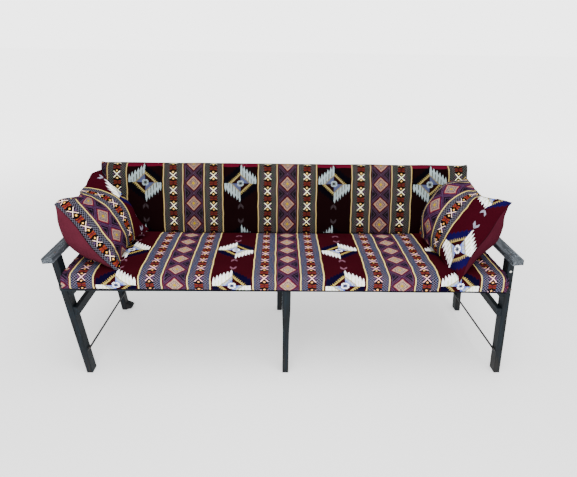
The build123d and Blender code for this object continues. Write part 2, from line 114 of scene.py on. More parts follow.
def operator(operation: str, swapped: bool = False) -> Callable[..., Wire]:
    """Makes an operator of Wire that adds one Math node, with the wire last when swapped."""

    def method(wire: Wire, *others: Input) -> Wire:
        values = (*others, wire) if swapped else (wire, *others)
        return wire.graph.math(operation, *values)

    return method


class Wire:
    """A value in a node tree that can be used in sums and comparisons."""

    def __init__(self, graph: Graph, socket: bpy.types.NodeSocket) -> None:
        self.graph = graph
        self.socket = socket

    __add__, __radd__ = operator("ADD"), operator("ADD", swapped=True)
    __sub__, __rsub__ = operator("SUBTRACT"), operator("SUBTRACT", swapped=True)
    __mul__, __rmul__ = operator("MULTIPLY"), operator("MULTIPLY", swapped=True)
    __truediv__, __abs__ = operator("DIVIDE"), operator("ABSOLUTE")
    __lt__, __gt__ = operator("LESS_THAN"), operator("GREATER_THAN")
    __and__, __or__ = operator("MULTIPLY"), operator("MAXIMUM")

    def __invert__(self) -> Wire:
        return 1.0 - self

    def between(self, low: float, high: float) -> Wire:
        """1 where the value lies between two limits, else 0."""
        return (self > low) & (self < high)

    def wrapped(self, period: float) -> Wire:
        """The value brought into the repeat that is centred on 0."""
        return self.graph.math("WRAP", self, period / 2, -period / 2)

    def floor(self) -> Wire:
        """The next whole number below."""
        return self.graph.math("FLOOR", self)

    def snapped(self, step: float) -> Wire:
        """The value moved to the middle of its thread."""
        return (self / step).floor() * step + step / 2


class Graph:
    """Adds nodes to a tree and links them."""

    def __init__(self, tree: bpy.types.NodeTree) -> None:
        self.tree = tree

    def node(self, kind: str, **settings: object) -> bpy.types.Node:
        """Adds a node of a kind with its settings."""
        made = self.tree.nodes.new(kind)
        for name, value in settings.items():
            setattr(made, name, value)
        return made

    def feed(self, socket: bpy.types.NodeSocket, value: Input) -> None:
        """Links a wire or a socket to an input, or sets a constant on it."""
        if isinstance(value, Wire):
            self.tree.links.new(value.socket, socket)
        elif isinstance(value, bpy.types.NodeSocket):
            self.tree.links.new(value, socket)
        else:
            socket.default_value = value

    def fill(self, node: bpy.types.Node, values: dict[str, Input]) -> None:
        """Feeds inputs of a node by their names."""
        for name, value in values.items():
            self.feed(node.inputs[name], value)

    def row(self, kind: str, values: Iterable[Input], **settings: object) -> Wire:
        """Adds a node, feeds its inputs in their order and returns its first output."""
        made = self.node(kind, **settings)
        for socket, value in zip(made.inputs, values):
            self.feed(socket, value)
        return Wire(self, made.outputs[0])

    def math(self, operation: str, *values: Input) -> Wire:
        """One Math node."""
        return self.row("ShaderNodeMath", values, operation=operation)

    def mix(self, share: Input, low: Input, high: Input) -> Wire:
        """Colour that goes from low to high with share."""
        made = self.node("ShaderNodeMix", data_type="RGBA")
        for name, value in (("Factor_Float", share), ("A_Color", low), ("B_Color", high)):
            self.feed(next(s for s in made.inputs if s.identifier == name), value)
        return Wire(self, next(s for s in made.outputs if s.identifier == "Result_Color"))

    def layers(self, ground: Input, *coats: tuple[Input, Input]) -> Wire:
        """Paints coats of (mask, colour) on a ground, each over the one before."""
        result = ground
        for mask, colour in coats:
            result = self.mix(mask, result, colour)
        return result

    def noise(
        self, vector: Input, scale: float, detail: float = 2.0, roughness: float = 0.5,
    ) -> Wire:
        """Cloud noise from 0 to 1."""
        made = self.node("ShaderNodeTexNoise")
        self.fill(
            made, {"Vector": vector, "Scale": scale, "Detail": detail, "Roughness": roughness},
        )
        return Wire(self, made.outputs[0])

    def ramp(self, value: Input, low: float, high: float) -> Wire:
        """0 below low, 1 above high and smooth in between."""
        limits = (value, low, high, 0.0, 1.0)
        return self.row("ShaderNodeMapRange", limits, interpolation_type="SMOOTHSTEP")

    def split(self, vector: Input) -> list[Wire]:
        """The three numbers of a vector."""
        made = self.node("ShaderNodeSeparateXYZ")
        self.feed(made.inputs[0], vector)
        return [Wire(self, socket) for socket in made.outputs]

    def join(self, *values: Input) -> Wire:
        """A vector made of up to three numbers."""
        return self.row("ShaderNodeCombineXYZ", values)

    def scaled(self, vector: Input, factors: Sequence[float]) -> Wire:
        """A vector with each number multiplied by its own factor."""
        return self.row("ShaderNodeVectorMath", (vector, factors), operation="MULTIPLY")

    def toned(self, colour: Input, value: Input) -> Wire:
        """A colour made brighter or darker by a factor."""
        made = self.node("ShaderNodeHueSaturation")
        self.fill(made, {"Color": colour, "Value": value})
        return Wire(self, made.outputs[0])

    def group(self, tree: bpy.types.NodeTree, **values: Input) -> dict[str, Wire]:
        """Uses a node group and returns its outputs by name."""
        made = self.node("ShaderNodeGroup", node_tree=tree)
        self.fill(made, values)
        return {socket.name: Wire(self, socket) for socket in made.outputs}


class Effect:
    """A shader effect kept as a node group, with named inputs and outputs."""

    KINDS = {
        "number": "NodeSocketFloat", "vector": "NodeSocketVector", "color": "NodeSocketColor",
    }

    def __init__(self, name: str, inputs: dict[str, str], outputs: dict[str, str]) -> None:
        self.tree = bpy.data.node_groups.new(name, "ShaderNodeTree")
        for names, way in ((inputs, "INPUT"), (outputs, "OUTPUT")):
            for title, kind in names.items():
                self.tree.interface.new_socket(title, in_out=way, socket_type=self.KINDS[kind])
        self.graph = Graph(self.tree)
        source = self.graph.node("NodeGroupInput")
        self.inputs = {title: Wire(self.graph, source.outputs[title]) for title in inputs}
        self.result = self.graph.node("NodeGroupOutput")

    def returns(self, **values: Input) -> bpy.types.NodeTree:
        """Links the outputs and gives the finished group."""
        for title, value in values.items():
            self.graph.feed(self.result.inputs[title], value)
        return self.tree


# Woven pattern


@dataclass(frozen=True)
class Weave:
    """Layout of the striped cloth, in metres on the cloth."""

    repeat: float = 0.4435
    diamond_half: float = 0.0495
    cross_outer: float = 0.1375
    diamond_pitch: float = 0.0956
    line_half: float = 0.0021
    line_edge: float = 0.0011
    check: float = 0.0056
    thread: float = 0.0014
    drift: float = 0.007
    slip: float = 0.008
    ragged: float = 0.0028
    drift_scale: float = 16.0

    @property
    def cross_pitch(self) -> float:
        """Pitch of the crosses, four to three diamonds."""
        return self.diamond_pitch * 3 / 4

    @property
    def medallion_pitch(self) -> float:
        """Pitch of the medallions, one to three diamonds."""
        return self.diamond_pitch * 3

    @property
    def cross_middle(self) -> float:
        """Distance from the middle of a diamond band to that of a cross band."""
        return (self.diamond_half + self.cross_outer) / 2


WEAVE = Weave()


@dataclass(frozen=True)
class ClothFinish:
    """Colours of one cover: its yarns toned lighter or darker with painted light or shade for
    that cover, and how its cloth was cut.
    """

    field: Color
    # The edge colour is a painted highlight, laid along a cover's lit top edge.
    edge: Color
    navy: Color
    accent: Color
    heart: Color
    sky: Color
    white: Color
    gold: Color
    stripe: Color
    cream: Color
    tan: Color
    thread: Color
    shade: Color
    rust: Color
    char: Color
    cross: Color
    dot: Color
    plum: Color
    crimson: Color
    lilac: Color
    pink: Color
    beige: Color
    mauve: Color
    yellow: Color
    backing: Color
    turn: float = 0.0
    medallion_slip: float = 0.0
    first_medallion: float = -10.0
    # How far down the cloth the painted top-edge highlight reaches; far off means none.
    top_edge: float = -10.0

    @classmethod
    def yarns(cls) -> list[str]:
        """Names of the colours that the pattern uses."""
        return [
            item.name for item in fields(cls) if item.type == "Color" and item.name != "backing"
        ]


class Band:
    """A stripe of the cloth."""

    def weave(self, graph: Graph, across: Wire, along: Wire, yarn: dict[str, Wire]) -> Wire:
        """Colours the stripe.

        Args:
            graph: the tree that the stripe is woven in.
            across: distance from the stripe's middle.
            along: distance down the cloth.
            yarn: the colours by name.

        Returns:
            The stripe's colour.
        """
        raise NotImplementedError


@dataclass(frozen=True)
class CrossBand(Band):
    """Checked band with a column of white crosses and rust bows, sizes in metres."""

    column: float = 0.0166
    half: float = 0.0150
    reach: float = 0.0152
    stroke: float = 0.150
    dot_place: float = 0.0168
    dot: float = 0.0050
    wedge: float = 0.0085
    wedge_slant: float = 0.0074
    wedge_reach: float = 0.0055
    bow: float = 0.0080
    bow_flare: float = 0.26
    bow_rim: float = 0.0024
    knot: float = 0.0018
    heart: float = 0.0020
    curl: float = 0.0036
    curl_half: float = 0.0007
    streak_scale: tuple[float, float] = (60.0, 14.0)
    streak_share: float = 0.45

    def weave(self, graph: Graph, across: Wire, along: Wire, yarn: dict[str, Wire]) -> Wire:
        """Weaves crosses, dots and bows on a checked ground."""
        squares = (across / WEAVE.check).floor() + (along / WEAVE.check).floor()
        fine, long = self.streak_scale
        streak = graph.noise(graph.join(across * fine, along * long, 0.0), scale=1.0)
        streak = graph.ramp(streak, 0.42, 0.60) * self.streak_share
        side = abs(across)
        reach = abs((along + WEAVE.cross_pitch / 2).wrapped(WEAVE.cross_pitch))
        cross = abs(side / self.half - reach / self.reach) < self.stroke
        dot = (side + abs(reach - self.dot_place)) < self.dot
        wedge = side.between(self.wedge, self.column) & (side - reach > self.wedge_slant)
        bow = abs(along.wrapped(WEAVE.cross_pitch))
        bow_edge = self.bow + side * self.bow_flare
        body = (bow < bow_edge) & (side < self.column)
        bright = body & side.between(self.knot, self.half) & (bow < bow_edge - self.bow_rim)
        curl = body & (abs(bow - self.curl) < self.curl_half)
        return graph.layers(
            graph.mix(streak, yarn["thread"], yarn["mauve"]),
            (abs(squares.wrapped(2.0)) < 0.5, yarn["shade"]),
            (side < self.column, yarn["shade"]),
            (wedge & (reach < self.wedge_reach), yarn["lilac"]),
            (body, yarn["char"]),
            (bright, yarn["rust"]),
            (curl, yarn["char"]),
            (body & (bow < self.heart), yarn["crimson"]),
            (dot, yarn["dot"]),
            (cross & (reach < self.reach), yarn["cross"]),
        )


class DiamondBand(Band):
    """Plum band with mottled diamonds in nested outlines.

    A ring lies between two distances from the middle of its diamond, in metres. Later
    rings cover earlier ones.
    """

    INNERMOST, OUTERMOST = -1.0, 1.0
    SLANT = 0.955
    RINGS = (
        (0.0440, 0.0472, "lilac"),
        (INNERMOST, 0.0380, "crimson"),
        (INNERMOST, 0.0324, "pink"),
        (INNERMOST, 0.0294, "sand"),
        (0.0185, 0.0230, "heather"),
        (0.0100, 0.0130, "mauve"),
        (INNERMOST, 0.0075, "yellow"),
        (0.0530, 0.0556, "lilac"),
        (0.0590, OUTERMOST, "shade"),
        (0.0665, 0.0690, "lilac"),
    )
    BORDER = (0.0385, 0.0405)
    BORDER_RING = 0.0556
    CRIMSON_EDGE = 0.0425
    NAVY_EDGE = 0.0452

    def weave(self, graph: Graph, across: Wire, along: Wire, yarn: dict[str, Wire]) -> Wire:
        """Weaves the rings of each diamond and the band's edges."""
        side = abs(across)
        ring = side + abs(along.wrapped(WEAVE.diamond_pitch)) * self.SLANT
        specks = graph.noise(graph.join(across, along, 0.0), scale=330.0, detail=1.0)
        specks = graph.ramp(specks, 0.46, 0.54)
        mottled = yarn | {
            "sand": graph.mix(specks, yarn["beige"], yarn["mauve"]),
            "heather": graph.mix(specks, yarn["mauve"], yarn["lilac"]),
        }
        return graph.layers(
            yarn["plum"],
            *((ring.between(low, high), mottled[name]) for low, high, name in self.RINGS),
            (side.between(*self.BORDER) & (ring > self.BORDER_RING), yarn["lilac"]),
            (side > self.CRIMSON_EDGE, yarn["crimson"]),
            (side > self.NAVY_EDGE, yarn["navy"]),
        )


@dataclass(frozen=True)
class MedallionPanel(Band):
    """Plain panel with winged medallions and small arrowheads, sizes in metres.

    The ground is the plain panel's colour, with the painted highlight of a lit top edge where
    the cover has one, and shown is 1 where medallions are woven. The ring is 0 in the middle of
    a medallion and 1 on the edge of its diamond.
    """

    ground: Wire
    shown: Wire
    half_width: float = 0.0480
    half_height: float = 0.0462
    wing_half: float = 0.0750
    finger: float = 0.0131
    crest: float = 0.0960
    crest_slope: float = 0.80
    notch: float = 0.0230
    shadow_notch: float = 0.0110
    shadow_inset: float = 0.004
    tooth: float = 0.0125
    teeth_reach: float = 0.062
    teeth_root: float = 0.93
    teeth_tip: float = 1.32
    teeth_depth: float = 0.36
    flute: float = 0.66
    flute_ring: float = 1.60
    inside: float = 0.96
    rim: tuple[float, float] = (0.90, 0.98)
    hatch: float = 0.0066
    hatch_half: float = 0.0011
    hatch_ring: float = 0.62
    flower: float = 0.0142
    flower_cut: float = 0.0225
    petal_half: float = 0.0016
    petal_gap: float = 0.0012
    eye: float = 0.0072
    pupil: float = 0.0036
    arrow_place: float = 0.1100
    arrow_rear: float = 0.0150
    arrow_front: float = 0.0140
    arrow_half: float = 0.0132
    arrow_split: float = 0.0011
    barb_rear: tuple[float, float] = (0.95, 0.0145)
    barb_front: tuple[float, float] = (1.15, 0.0010)

    def arrow(self, side: Wire, rise: Wire) -> Wire:
        """Mask of the arrowheads above and below a medallion."""
        shaft = rise - self.arrow_place
        head = shaft.between(-self.arrow_rear, self.arrow_front)
        (rear_slope, rear), (front_slope, front) = self.barb_rear, self.barb_front
        barbs = (shaft > side * rear_slope - rear) & (shaft < side * front_slope - front)
        return head & barbs & (side < self.arrow_half) & (side > self.arrow_split)

    def weave(self, graph: Graph, across: Wire, along: Wire, yarn: dict[str, Wire]) -> Wire:
        """Weaves the medallions, with the lit wing up where across is positive."""
        up = along.wrapped(WEAVE.medallion_pitch) * -1
        side, rise = abs(across), abs(up)
        lit = (across * up) > 0.0
        ring = side / self.half_width + rise / self.half_height
        spike = abs((side - self.finger * 0.36).wrapped(self.finger)) / (self.finger / 2)
        crest = self.crest - side * self.crest_slope
        outside = (side < self.wing_half) & (ring > 1.0)
        wing = outside & (rise < crest - spike * self.notch)
        shadow = outside & (rise < crest - self.shadow_inset - spike * self.shadow_notch)
        fluted = (spike > self.flute) & (ring < self.flute_ring)
        tooth = abs((side - rise).wrapped(self.tooth)) / (self.tooth / 2)
        teeth = (ring < self.teeth_tip - tooth * self.teeth_depth) & (ring > self.teeth_root)
        teeth = teeth & (rise < self.teeth_reach)
        inside = ring < self.inside
        hatch = abs((side - rise).wrapped(self.hatch)) < self.hatch_half
        hatch = hatch & (ring > self.hatch_ring)
        flower = (side < self.flower) & (rise < self.flower) & (side + rise < self.flower_cut)
        petals = (
            (abs(side - rise) < self.petal_half)
            | (side < self.petal_gap) | (rise < self.petal_gap)
        )
        coats = (
            (shadow & ~lit, "navy"),
            (teeth & ~lit, "gold"),
            (wing & lit, "white"),
            (wing & lit & fluted, "stripe"),
            (inside & lit, "sky"),
            (inside & lit & hatch, "stripe"),
            (inside & ~lit, "heart"),
            (ring.between(*self.rim), "gold"),
            (flower, "white"),
            (flower & petals, "sky"),
            ((side < self.eye) & (rise < self.eye), "thread"),
            (side + rise < self.pupil, "shade"),
        )
        return graph.layers(
            self.ground,
            (self.arrow(side, rise), yarn["accent"]),
            *((mask & self.shown, yarn[name]) for mask, name in coats),
        )


def kilim_effect() -> bpy.types.NodeTree:
    """Node group that weaves the whole cloth from a place on it."""
    # Top is where the painted top-edge highlight ends.
    cut = {name: "number" for name in ("Turn", "Slip", "First", "Top")}
    effect = Effect(
        "kilim",
        {"Cloth": "vector"} | cut | {name: "color" for name in ClothFinish.yarns()},
        {"Color": "color", "Relief": "number"},
    )
    graph = effect.graph
    yarn = effect.inputs
    raw_across, raw_along, lining = graph.split(yarn["Cloth"])
    drift = graph.noise(yarn["Cloth"], WEAVE.drift_scale, detail=1.0) - 0.5
    slip = graph.join(raw_along, raw_across, 3.0)
    slip = graph.noise(slip, WEAVE.drift_scale, detail=1.0) - 0.5
    ragged = graph.join(raw_across * 40, raw_along * 330, 0.0)
    ragged = graph.noise(ragged, 1.0, detail=0.0) - 0.5
    across = raw_across + drift * WEAVE.drift + ragged * WEAVE.ragged
    across = across.snapped(WEAVE.thread)
    along = (raw_along + slip * WEAVE.slip).snapped(WEAVE.thread)
    place = abs(across.wrapped(WEAVE.repeat))
    panel = (across / WEAVE.repeat).floor()
    odd = abs((panel + yarn["Turn"]).wrapped(2.0))
    mirrored = (across - WEAVE.repeat / 2).wrapped(WEAVE.repeat) * (odd * 2 - 1)
    # Painted highlight: near the top of the cloth the ground takes the edge colour, standing in
    # for light on the back's top edge.
    ground = graph.layers(yarn["field"], (along < yarn["Top"], yarn["edge"]))
    medallions = MedallionPanel(ground, along > yarn["First"])
    medallions = medallions.weave(graph, mirrored, along + yarn["Slip"], yarn)
    crosses = CrossBand().weave(graph, place - WEAVE.cross_middle, along, yarn)
    diamonds = DiamondBand().weave(graph, across.wrapped(WEAVE.repeat), along, yarn)
    line = graph.math(
        "MINIMUM", abs(place - WEAVE.cross_outer), abs(place - WEAVE.diamond_half),
    )
    colour = graph.layers(
        medallions,
        (place < WEAVE.cross_outer, crosses),
        (place < WEAVE.diamond_half, diamonds),
        (line < WEAVE.line_half + WEAVE.line_edge, yarn["tan"]),
        (line < WEAVE.line_half, yarn["cream"]),
        (lining > Lining.HEM.value / 2, yarn["shade"]),
    )
    weft = graph.math("SINE", raw_along * (2 * math.pi / WEAVE.thread))
    warp = graph.math("SINE", raw_across * (math.pi / WEAVE.thread))
    heather = graph.noise(yarn["Cloth"], scale=900.0, detail=1.0)
    clouds = graph.noise(yarn["Cloth"], scale=9.0, detail=3.0, roughness=0.6)
    return effect.returns(
        Color=graph.toned(colour, heather * 0.55 + clouds * 0.35 + 0.55),
        Relief=weft * 0.5 + warp * 0.35 + heather,
    )


def twill_effect() -> bpy.types.NodeTree:
    """Node group for the plain backing cloth, with fine ribs and soft fading."""
    effect = Effect(
        "backing", {"Place": "vector", "Tone": "color"}, {"Color": "color", "Relief": "number"},
    )
    graph = effect.graph
    rib_pitch = 0.0022
    x, y, z = graph.split(effect.inputs["Place"])
    ribs = graph.math("SINE", (x + y + z) * (2 * math.pi / rib_pitch))
    clouds = graph.noise(effect.inputs["Place"], scale=14.0, detail=4.0, roughness=0.6)
    threads = graph.noise(effect.inputs["Place"], scale=700.0, detail=1.0)
    return effect.returns(
        Color=graph.toned(effect.inputs["Tone"], clouds * 0.5 + threads * 0.3 + 0.6),
        Relief=ribs * 0.4 + threads,
    )


# The palettes are copies of the same yarns, each toned by painted light or shade. The back's is
# the darker copy: painted shade.
SHADED_BACK_CLOTH = ClothFinish(
    field=rgb(16, 5, 6), edge=rgb(75, 10, 28), navy=rgb(5, 4, 8), accent=rgb(47, 39, 42),
    heart=rgb(21, 6, 6), sky=rgb(64, 69, 103), white=rgb(139, 154, 157), gold=rgb(138, 123, 74),
    stripe=rgb(71, 75, 68), cream=rgb(166, 145, 92), tan=rgb(64, 42, 30),
    thread=rgb(60, 64, 60), shade=rgb(14, 13, 13), rust=rgb(93, 38, 27), char=rgb(31, 8, 7),
    cross=rgb(255, 251, 211), dot=rgb(231, 184, 94), plum=rgb(36, 15, 25),
    crimson=rgb(56, 19, 24), lilac=rgb(65, 51, 69), pink=rgb(157, 108, 89),
    beige=rgb(151, 126, 97), mauve=rgb(82, 63, 69), yellow=rgb(148, 120, 0),
    # Above this place the edge colour paints a highlight along the back's top edge.
    backing=rgb(69, 15, 30), top_edge=-0.0785,
)
# The seat's and the cushions' palettes are the lighter copies: painted light on the lit seat and
# cushions.
LIT_SEAT_CLOTH = ClothFinish(
    field=rgb(44, 7, 14), edge=rgb(73, 8, 26), navy=rgb(8, 4, 29), accent=rgb(105, 67, 82),
    heart=rgb(37, 6, 10), sky=rgb(90, 105, 182), white=rgb(255, 255, 255),
    gold=rgb(169, 147, 75), stripe=rgb(219, 232, 181), cream=rgb(220, 198, 117),
    tan=rgb(81, 62, 57), thread=rgb(76, 81, 107), shade=rgb(19, 17, 25), rust=rgb(111, 48, 30),
    char=rgb(43, 12, 11), cross=rgb(255, 193, 197), dot=rgb(244, 175, 93), plum=rgb(53, 22, 41),
    crimson=rgb(83, 25, 41), lilac=rgb(77, 55, 81), pink=rgb(158, 103, 98),
    beige=rgb(196, 166, 126), mauve=rgb(106, 85, 90), yellow=rgb(164, 135, 30),
    backing=rgb(68, 15, 29), turn=1.0, first_medallion=-0.196,
)
LIT_LEFT_CLOTH = ClothFinish(
    field=rgb(46, 6, 15), edge=rgb(70, 8, 24), navy=rgb(15, 5, 55), accent=rgb(133, 131, 148),
    heart=rgb(32, 4, 9), sky=rgb(89, 101, 176), white=rgb(255, 255, 255),
    gold=rgb(145, 127, 71), stripe=rgb(193, 203, 156), cream=rgb(206, 185, 103),
    tan=rgb(73, 57, 51), thread=rgb(79, 80, 93), shade=rgb(10, 8, 11), rust=rgb(132, 55, 28),
    char=rgb(45, 11, 10), cross=rgb(255, 218, 202), dot=rgb(245, 185, 80), plum=rgb(48, 18, 39),
    crimson=rgb(82, 22, 39), lilac=rgb(68, 51, 79), pink=rgb(150, 92, 85),
    beige=rgb(150, 129, 100), mauve=rgb(85, 67, 74), yellow=rgb(148, 122, 0),
    backing=rgb(78, 30, 42), medallion_slip=0.108,
)
LIT_RIGHT_CLOTH = replace(
    LIT_LEFT_CLOTH, turn=1.0, medallion_slip=-0.007, backing=rgb(62, 20, 31),
)


# Timber and iron


@dataclass(frozen=True)
class PaintFinish:
    """Worn paint on timber."""

    paint: Color = rgb(10, 22, 30)
    deep: Color = rgb(5, 8, 11)
    scuff: Color = rgb(40, 54, 62)
    bare: Color = rgb(34, 32, 31)


@dataclass(frozen=True)
class MetalFinish:
    """Plain metal with a little rust."""

    metal: Color
    rust: Color
    roughness: float = 0.5
    metallic: float = 0.7


# The arms take a lighter copy of the slate paint with near-white scuffs: painted light and
# painted highlights on their lit tops. Legs and rails keep the darker copy.
LIT_ARM_PAINT = PaintFinish(
    paint=rgb(89, 94, 100), deep=rgb(34, 40, 45), scuff=rgb(200, 214, 232), bare=rgb(73, 66, 60),
)
IRON = MetalFinish(rgb(32, 36, 40), rgb(54, 46, 42))
DARK_STEEL = MetalFinish(rgb(52, 50, 50), rgb(70, 52, 44))
ZINC = MetalFinish(rgb(196, 196, 192), rgb(150, 140, 128), roughness=0.35, metallic=0.9)


def paint_effect() -> bpy.types.NodeTree:
    """Node group for old brushed paint: streaks, scratches, scuffs and bare wood."""
    coats = ("Paint", "Deep", "Scuff", "Bare")
    effect = Effect(
        "worn_paint",
        {"Place": "vector", "Grain": "vector"} | {name: "color" for name in coats},
        {"Color": "color", "Roughness": "number", "Relief": "number"},
    )
    graph = effect.graph
    place, grain, paint, deep, scuff, bare = effect.inputs.values()
    streaks = graph.noise(grain, scale=9.0, detail=6.0, roughness=0.65)
    hairs = graph.noise(grain, scale=55.0, detail=3.0, roughness=0.6)
    blotches = graph.noise(place, scale=11.0, detail=5.0, roughness=0.7)
    chips = graph.noise(place, scale=60.0, detail=3.0, roughness=0.6)
    chips = graph.ramp(chips, 0.66, 0.70)
    scratches = graph.ramp(hairs, 0.60, 0.68) & graph.ramp(blotches, 0.44, 0.60)
    height = graph.split(place)[2]
    foot = graph.ramp(height * -1.0, -0.16, -0.01) & graph.ramp(streaks, 0.42, 0.60)
    colour = graph.layers(
        paint,
        (graph.ramp(streaks, 0.35, 0.62), deep),
        # With the arms' near-white scuff colour these scratches also paint highlights.
        (scratches * 0.8, scuff),
        (chips & graph.ramp(streaks, 0.40, 0.60), bare),
        (foot, bare),
    )
    return effect.returns(
        Color=colour,
        Roughness=0.48 + blotches * 0.3,
        Relief=streaks * 0.6 + hairs * 0.4 - chips * 0.5,
    )


class Surface:
    """A material with a plain shader, and the graph that feeds it."""

    def __init__(self, name: str) -> None:
        self.material = bpy.data.materials.new(name)
        self.material.use_nodes = True
        tree = self.material.node_tree
        self.graph = Graph(tree)
        self.shader = tree.nodes["Principled BSDF"]

    def place(self) -> bpy.types.NodeSocket:
        """Place in the piece's own space, in metres."""
        return self.graph.node("ShaderNodeTexCoord").outputs["Object"]

    def feed(self, values: dict[str, Input]) -> None:
        """Feeds inputs of the shader by their names."""
        self.graph.fill(self.shader, values)

    def relief(self, height: Input, strength: float, depth: float) -> None:
        """Feeds a height into the shader's normal."""
        bump = self.graph.node("ShaderNodeBump")
        self.graph.fill(bump, {"Strength": strength, "Distance": depth, "Height": height})
        self.feed({"Normal": bump.outputs[0]})


class Materials:
    """All the finishes of the bench, each made once."""

    def __init__(self) -> None:
        self.kilim = kilim_effect()
        self.backing = twill_effect()
        self.paint = paint_effect()

    def timber(self, name: str, grain: Grain, finish: PaintFinish) -> bpy.types.Material:
        """Painted wood whose streaks run along the timber."""
        surface = Surface(name)
        graph, place = surface.graph, surface.place()
        parts = graph.group(
            self.paint, Place=place, Grain=graph.scaled(place, grain.value),
            Paint=finish.paint, Deep=finish.deep, Scuff=finish.scuff, Bare=finish.bare,
        )
        surface.feed({
            "Base Color": parts["Color"],
            "Roughness": parts["Roughness"],
            "Specular IOR Level": 0.16,
        })
        surface.relief(parts["Relief"], strength=0.5, depth=0.0008)
        return surface.material

    def metal(self, name: str, finish: MetalFinish) -> bpy.types.Material:
        """Metal with patches of rust."""
        surface = Surface(name)
        graph = surface.graph
        patches = graph.noise(surface.place(), scale=90.0, detail=5.0, roughness=0.7)
        rust = graph.ramp(patches, 0.50, 0.62)
        surface.feed({
            "Base Color": graph.mix(rust, finish.metal, finish.rust),
            "Roughness": patches * 0.4 + finish.roughness * 0.6,
            "Metallic": finish.metallic - rust * finish.metallic * 0.8,
        })
        surface.relief(patches, strength=0.4, depth=0.0005)
        return surface.material

    def cover(self, name: str, finish: ClothFinish) -> bpy.types.Material:
        """Kilim on the show side of a cover and plain cloth on its backing."""
        surface = Surface(name)
        graph = surface.graph
        cloth = graph.node("ShaderNodeAttribute", attribute_name=CLOTH_ATTRIBUTE)
        cloth = cloth.outputs["Vector"]
        yarns = {yarn: getattr(finish, yarn) for yarn in ClothFinish.yarns()}
        woven = graph.group(
            self.kilim, Cloth=cloth, Turn=finish.turn, Slip=finish.medallion_slip,
            First=finish.first_medallion, Top=finish.top_edge, **yarns,
        )
        plain = graph.group(self.backing, Place=surface.place(), Tone=finish.backing)
        side = graph.split(cloth)[2] > 0.5
        surface.feed({
            "Base Color": graph.mix(side, woven["Color"], plain["Color"]),
            "Roughness": 0.92,
            "Specular IOR Level": 0.0,
        })
        height = woven["Relief"] + side * (plain["Relief"] - woven["Relief"])
        surface.relief(height, strength=0.35, depth=0.0006)
        return surface.material

    def floor(self) -> bpy.types.Material:
        """Pale matt floor that brightens into the backdrop away from the bench."""
        surface = Surface("pale_floor")
        graph = surface.graph
        x, y, _ = graph.split(surface.place())
        glow = graph.ramp(graph.math("SQRT", x * x + y * y), 0.8, 5.0) * 2.2 + 0.7
        surface.feed({
            "Base Color": rgb(240, 240, 240),
            "Roughness": 0.9,
            "Specular IOR Level": 0.0,
            "Emission Color": graph.join(glow, glow, glow),
            "Emission Strength": 1.0,
        })
        return surface.material


# Padded pieces


@dataclass(frozen=True)
class Inflation:
    """How a cover is filled in the cloth simulation."""

    pressure: float
    slack: float
    cap: float
    frames: int = 20
    fabric: tuple[tuple[str, float], ...] = (
        ("quality", 5),
        ("mass", 0.3),
        ("tension_stiffness", 20),
        ("compression_stiffness", 20),
        ("bending_stiffness", 0.4),
    )


PAD_FILL = Inflation(pressure=3.0, slack=0.01, cap=0.005)
CUSHION_FILL = Inflation(pressure=3.0, slack=0.04, cap=0.008)


def place_noise(point: Vector, size: float) -> float:
    """Smooth noise of about -1 to 1 whose waves are about size metres long."""
    return noise.noise(point / size)


class Pad:
    """A closed cloth mesh with a place on the cloth stored at each point."""

    def __init__(self, name: str) -> None:
        self.name = name
        self.mesh = bmesh.new()
        self.layer = self.mesh.verts.layers.float_vector.new(CLOTH_ATTRIBUTE)

    def vertex(self, point: Sequence[float], cloth: Sequence[float]) -> bmesh.types.BMVert:
        """Adds a point with its place on the cloth."""
        made = self.mesh.verts.new(point)
        made[self.layer] = cloth
        return made

    def build(self) -> bpy.types.Object:
        """Turns the points and faces into an object."""
        bmesh.ops.recalc_face_normals(self.mesh, faces=self.mesh.faces)
        data = bpy.data.meshes.new(self.name)
        self.mesh.to_mesh(data)
        self.mesh.free()
        data.shade_smooth()
        piece = bpy.data.objects.new(self.name, data)
        bpy.context.scene.collection.objects.link(piece)
        return piece


def coordinates(mesh: bpy.types.Mesh) -> np.ndarray:
    """The points of a mesh as rows."""
    flat = np.empty(len(mesh.vertices) * 3)
    mesh.vertices.foreach_get("co", flat)
    return flat.reshape(-1, 3)


def move_points(mesh: bpy.types.Mesh, points: np.ndarray) -> None:
    """Writes rows of points back to a mesh."""
    mesh.vertices.foreach_set("co", points.ravel())
    mesh.update()


def inflate(piece: bpy.types.Object, held: Iterable[int], how: Inflation) -> None:
    """Fills a cover by a cloth simulation and keeps the result in its mesh.

    Args:
        piece: the closed cover.
        held: points that stay where they are.
        how: pressure, slack in the cloth and how far a point may move.
    """
    scene = bpy.context.scene
    rest = coordinates(piece.data)
    group = piece.vertex_groups.new(name="held")
    group.add(list(held), 1.0, "REPLACE")
    cloth = piece.modifiers.new("Cloth", "CLOTH")
    for name, value in how.fabric:
        setattr(cloth.settings, name, value)
    cloth.settings.use_pressure = True
    cloth.settings.uniform_pressure_force = how.pressure
    cloth.settings.shrink_min = -how.slack
    cloth.settings.vertex_group_mass = group.name
    cloth.settings.effector_weights.gravity = 0.0
    cloth.point_cache.frame_start = 1
    cloth.point_cache.frame_end = how.frames
    for frame in range(1, how.frames + 1):
        scene.frame_set(frame)
    solved = piece.evaluated_get(bpy.context.evaluated_depsgraph_get())
    moved = coordinates(solved.data) - rest
    piece.modifiers.remove(cloth)
    piece.vertex_groups.remove(group)
    scene.frame_set(1)
    reach = np.linalg.norm(moved, axis=1, keepdims=True)
    moved *= np.minimum(1.0, how.cap / np.maximum(reach, 1e-9))
    move_points(piece.data, rest + moved)
    log.info("%s filled, moved %.1f mm at most", piece.name, reach.max() * 1000)


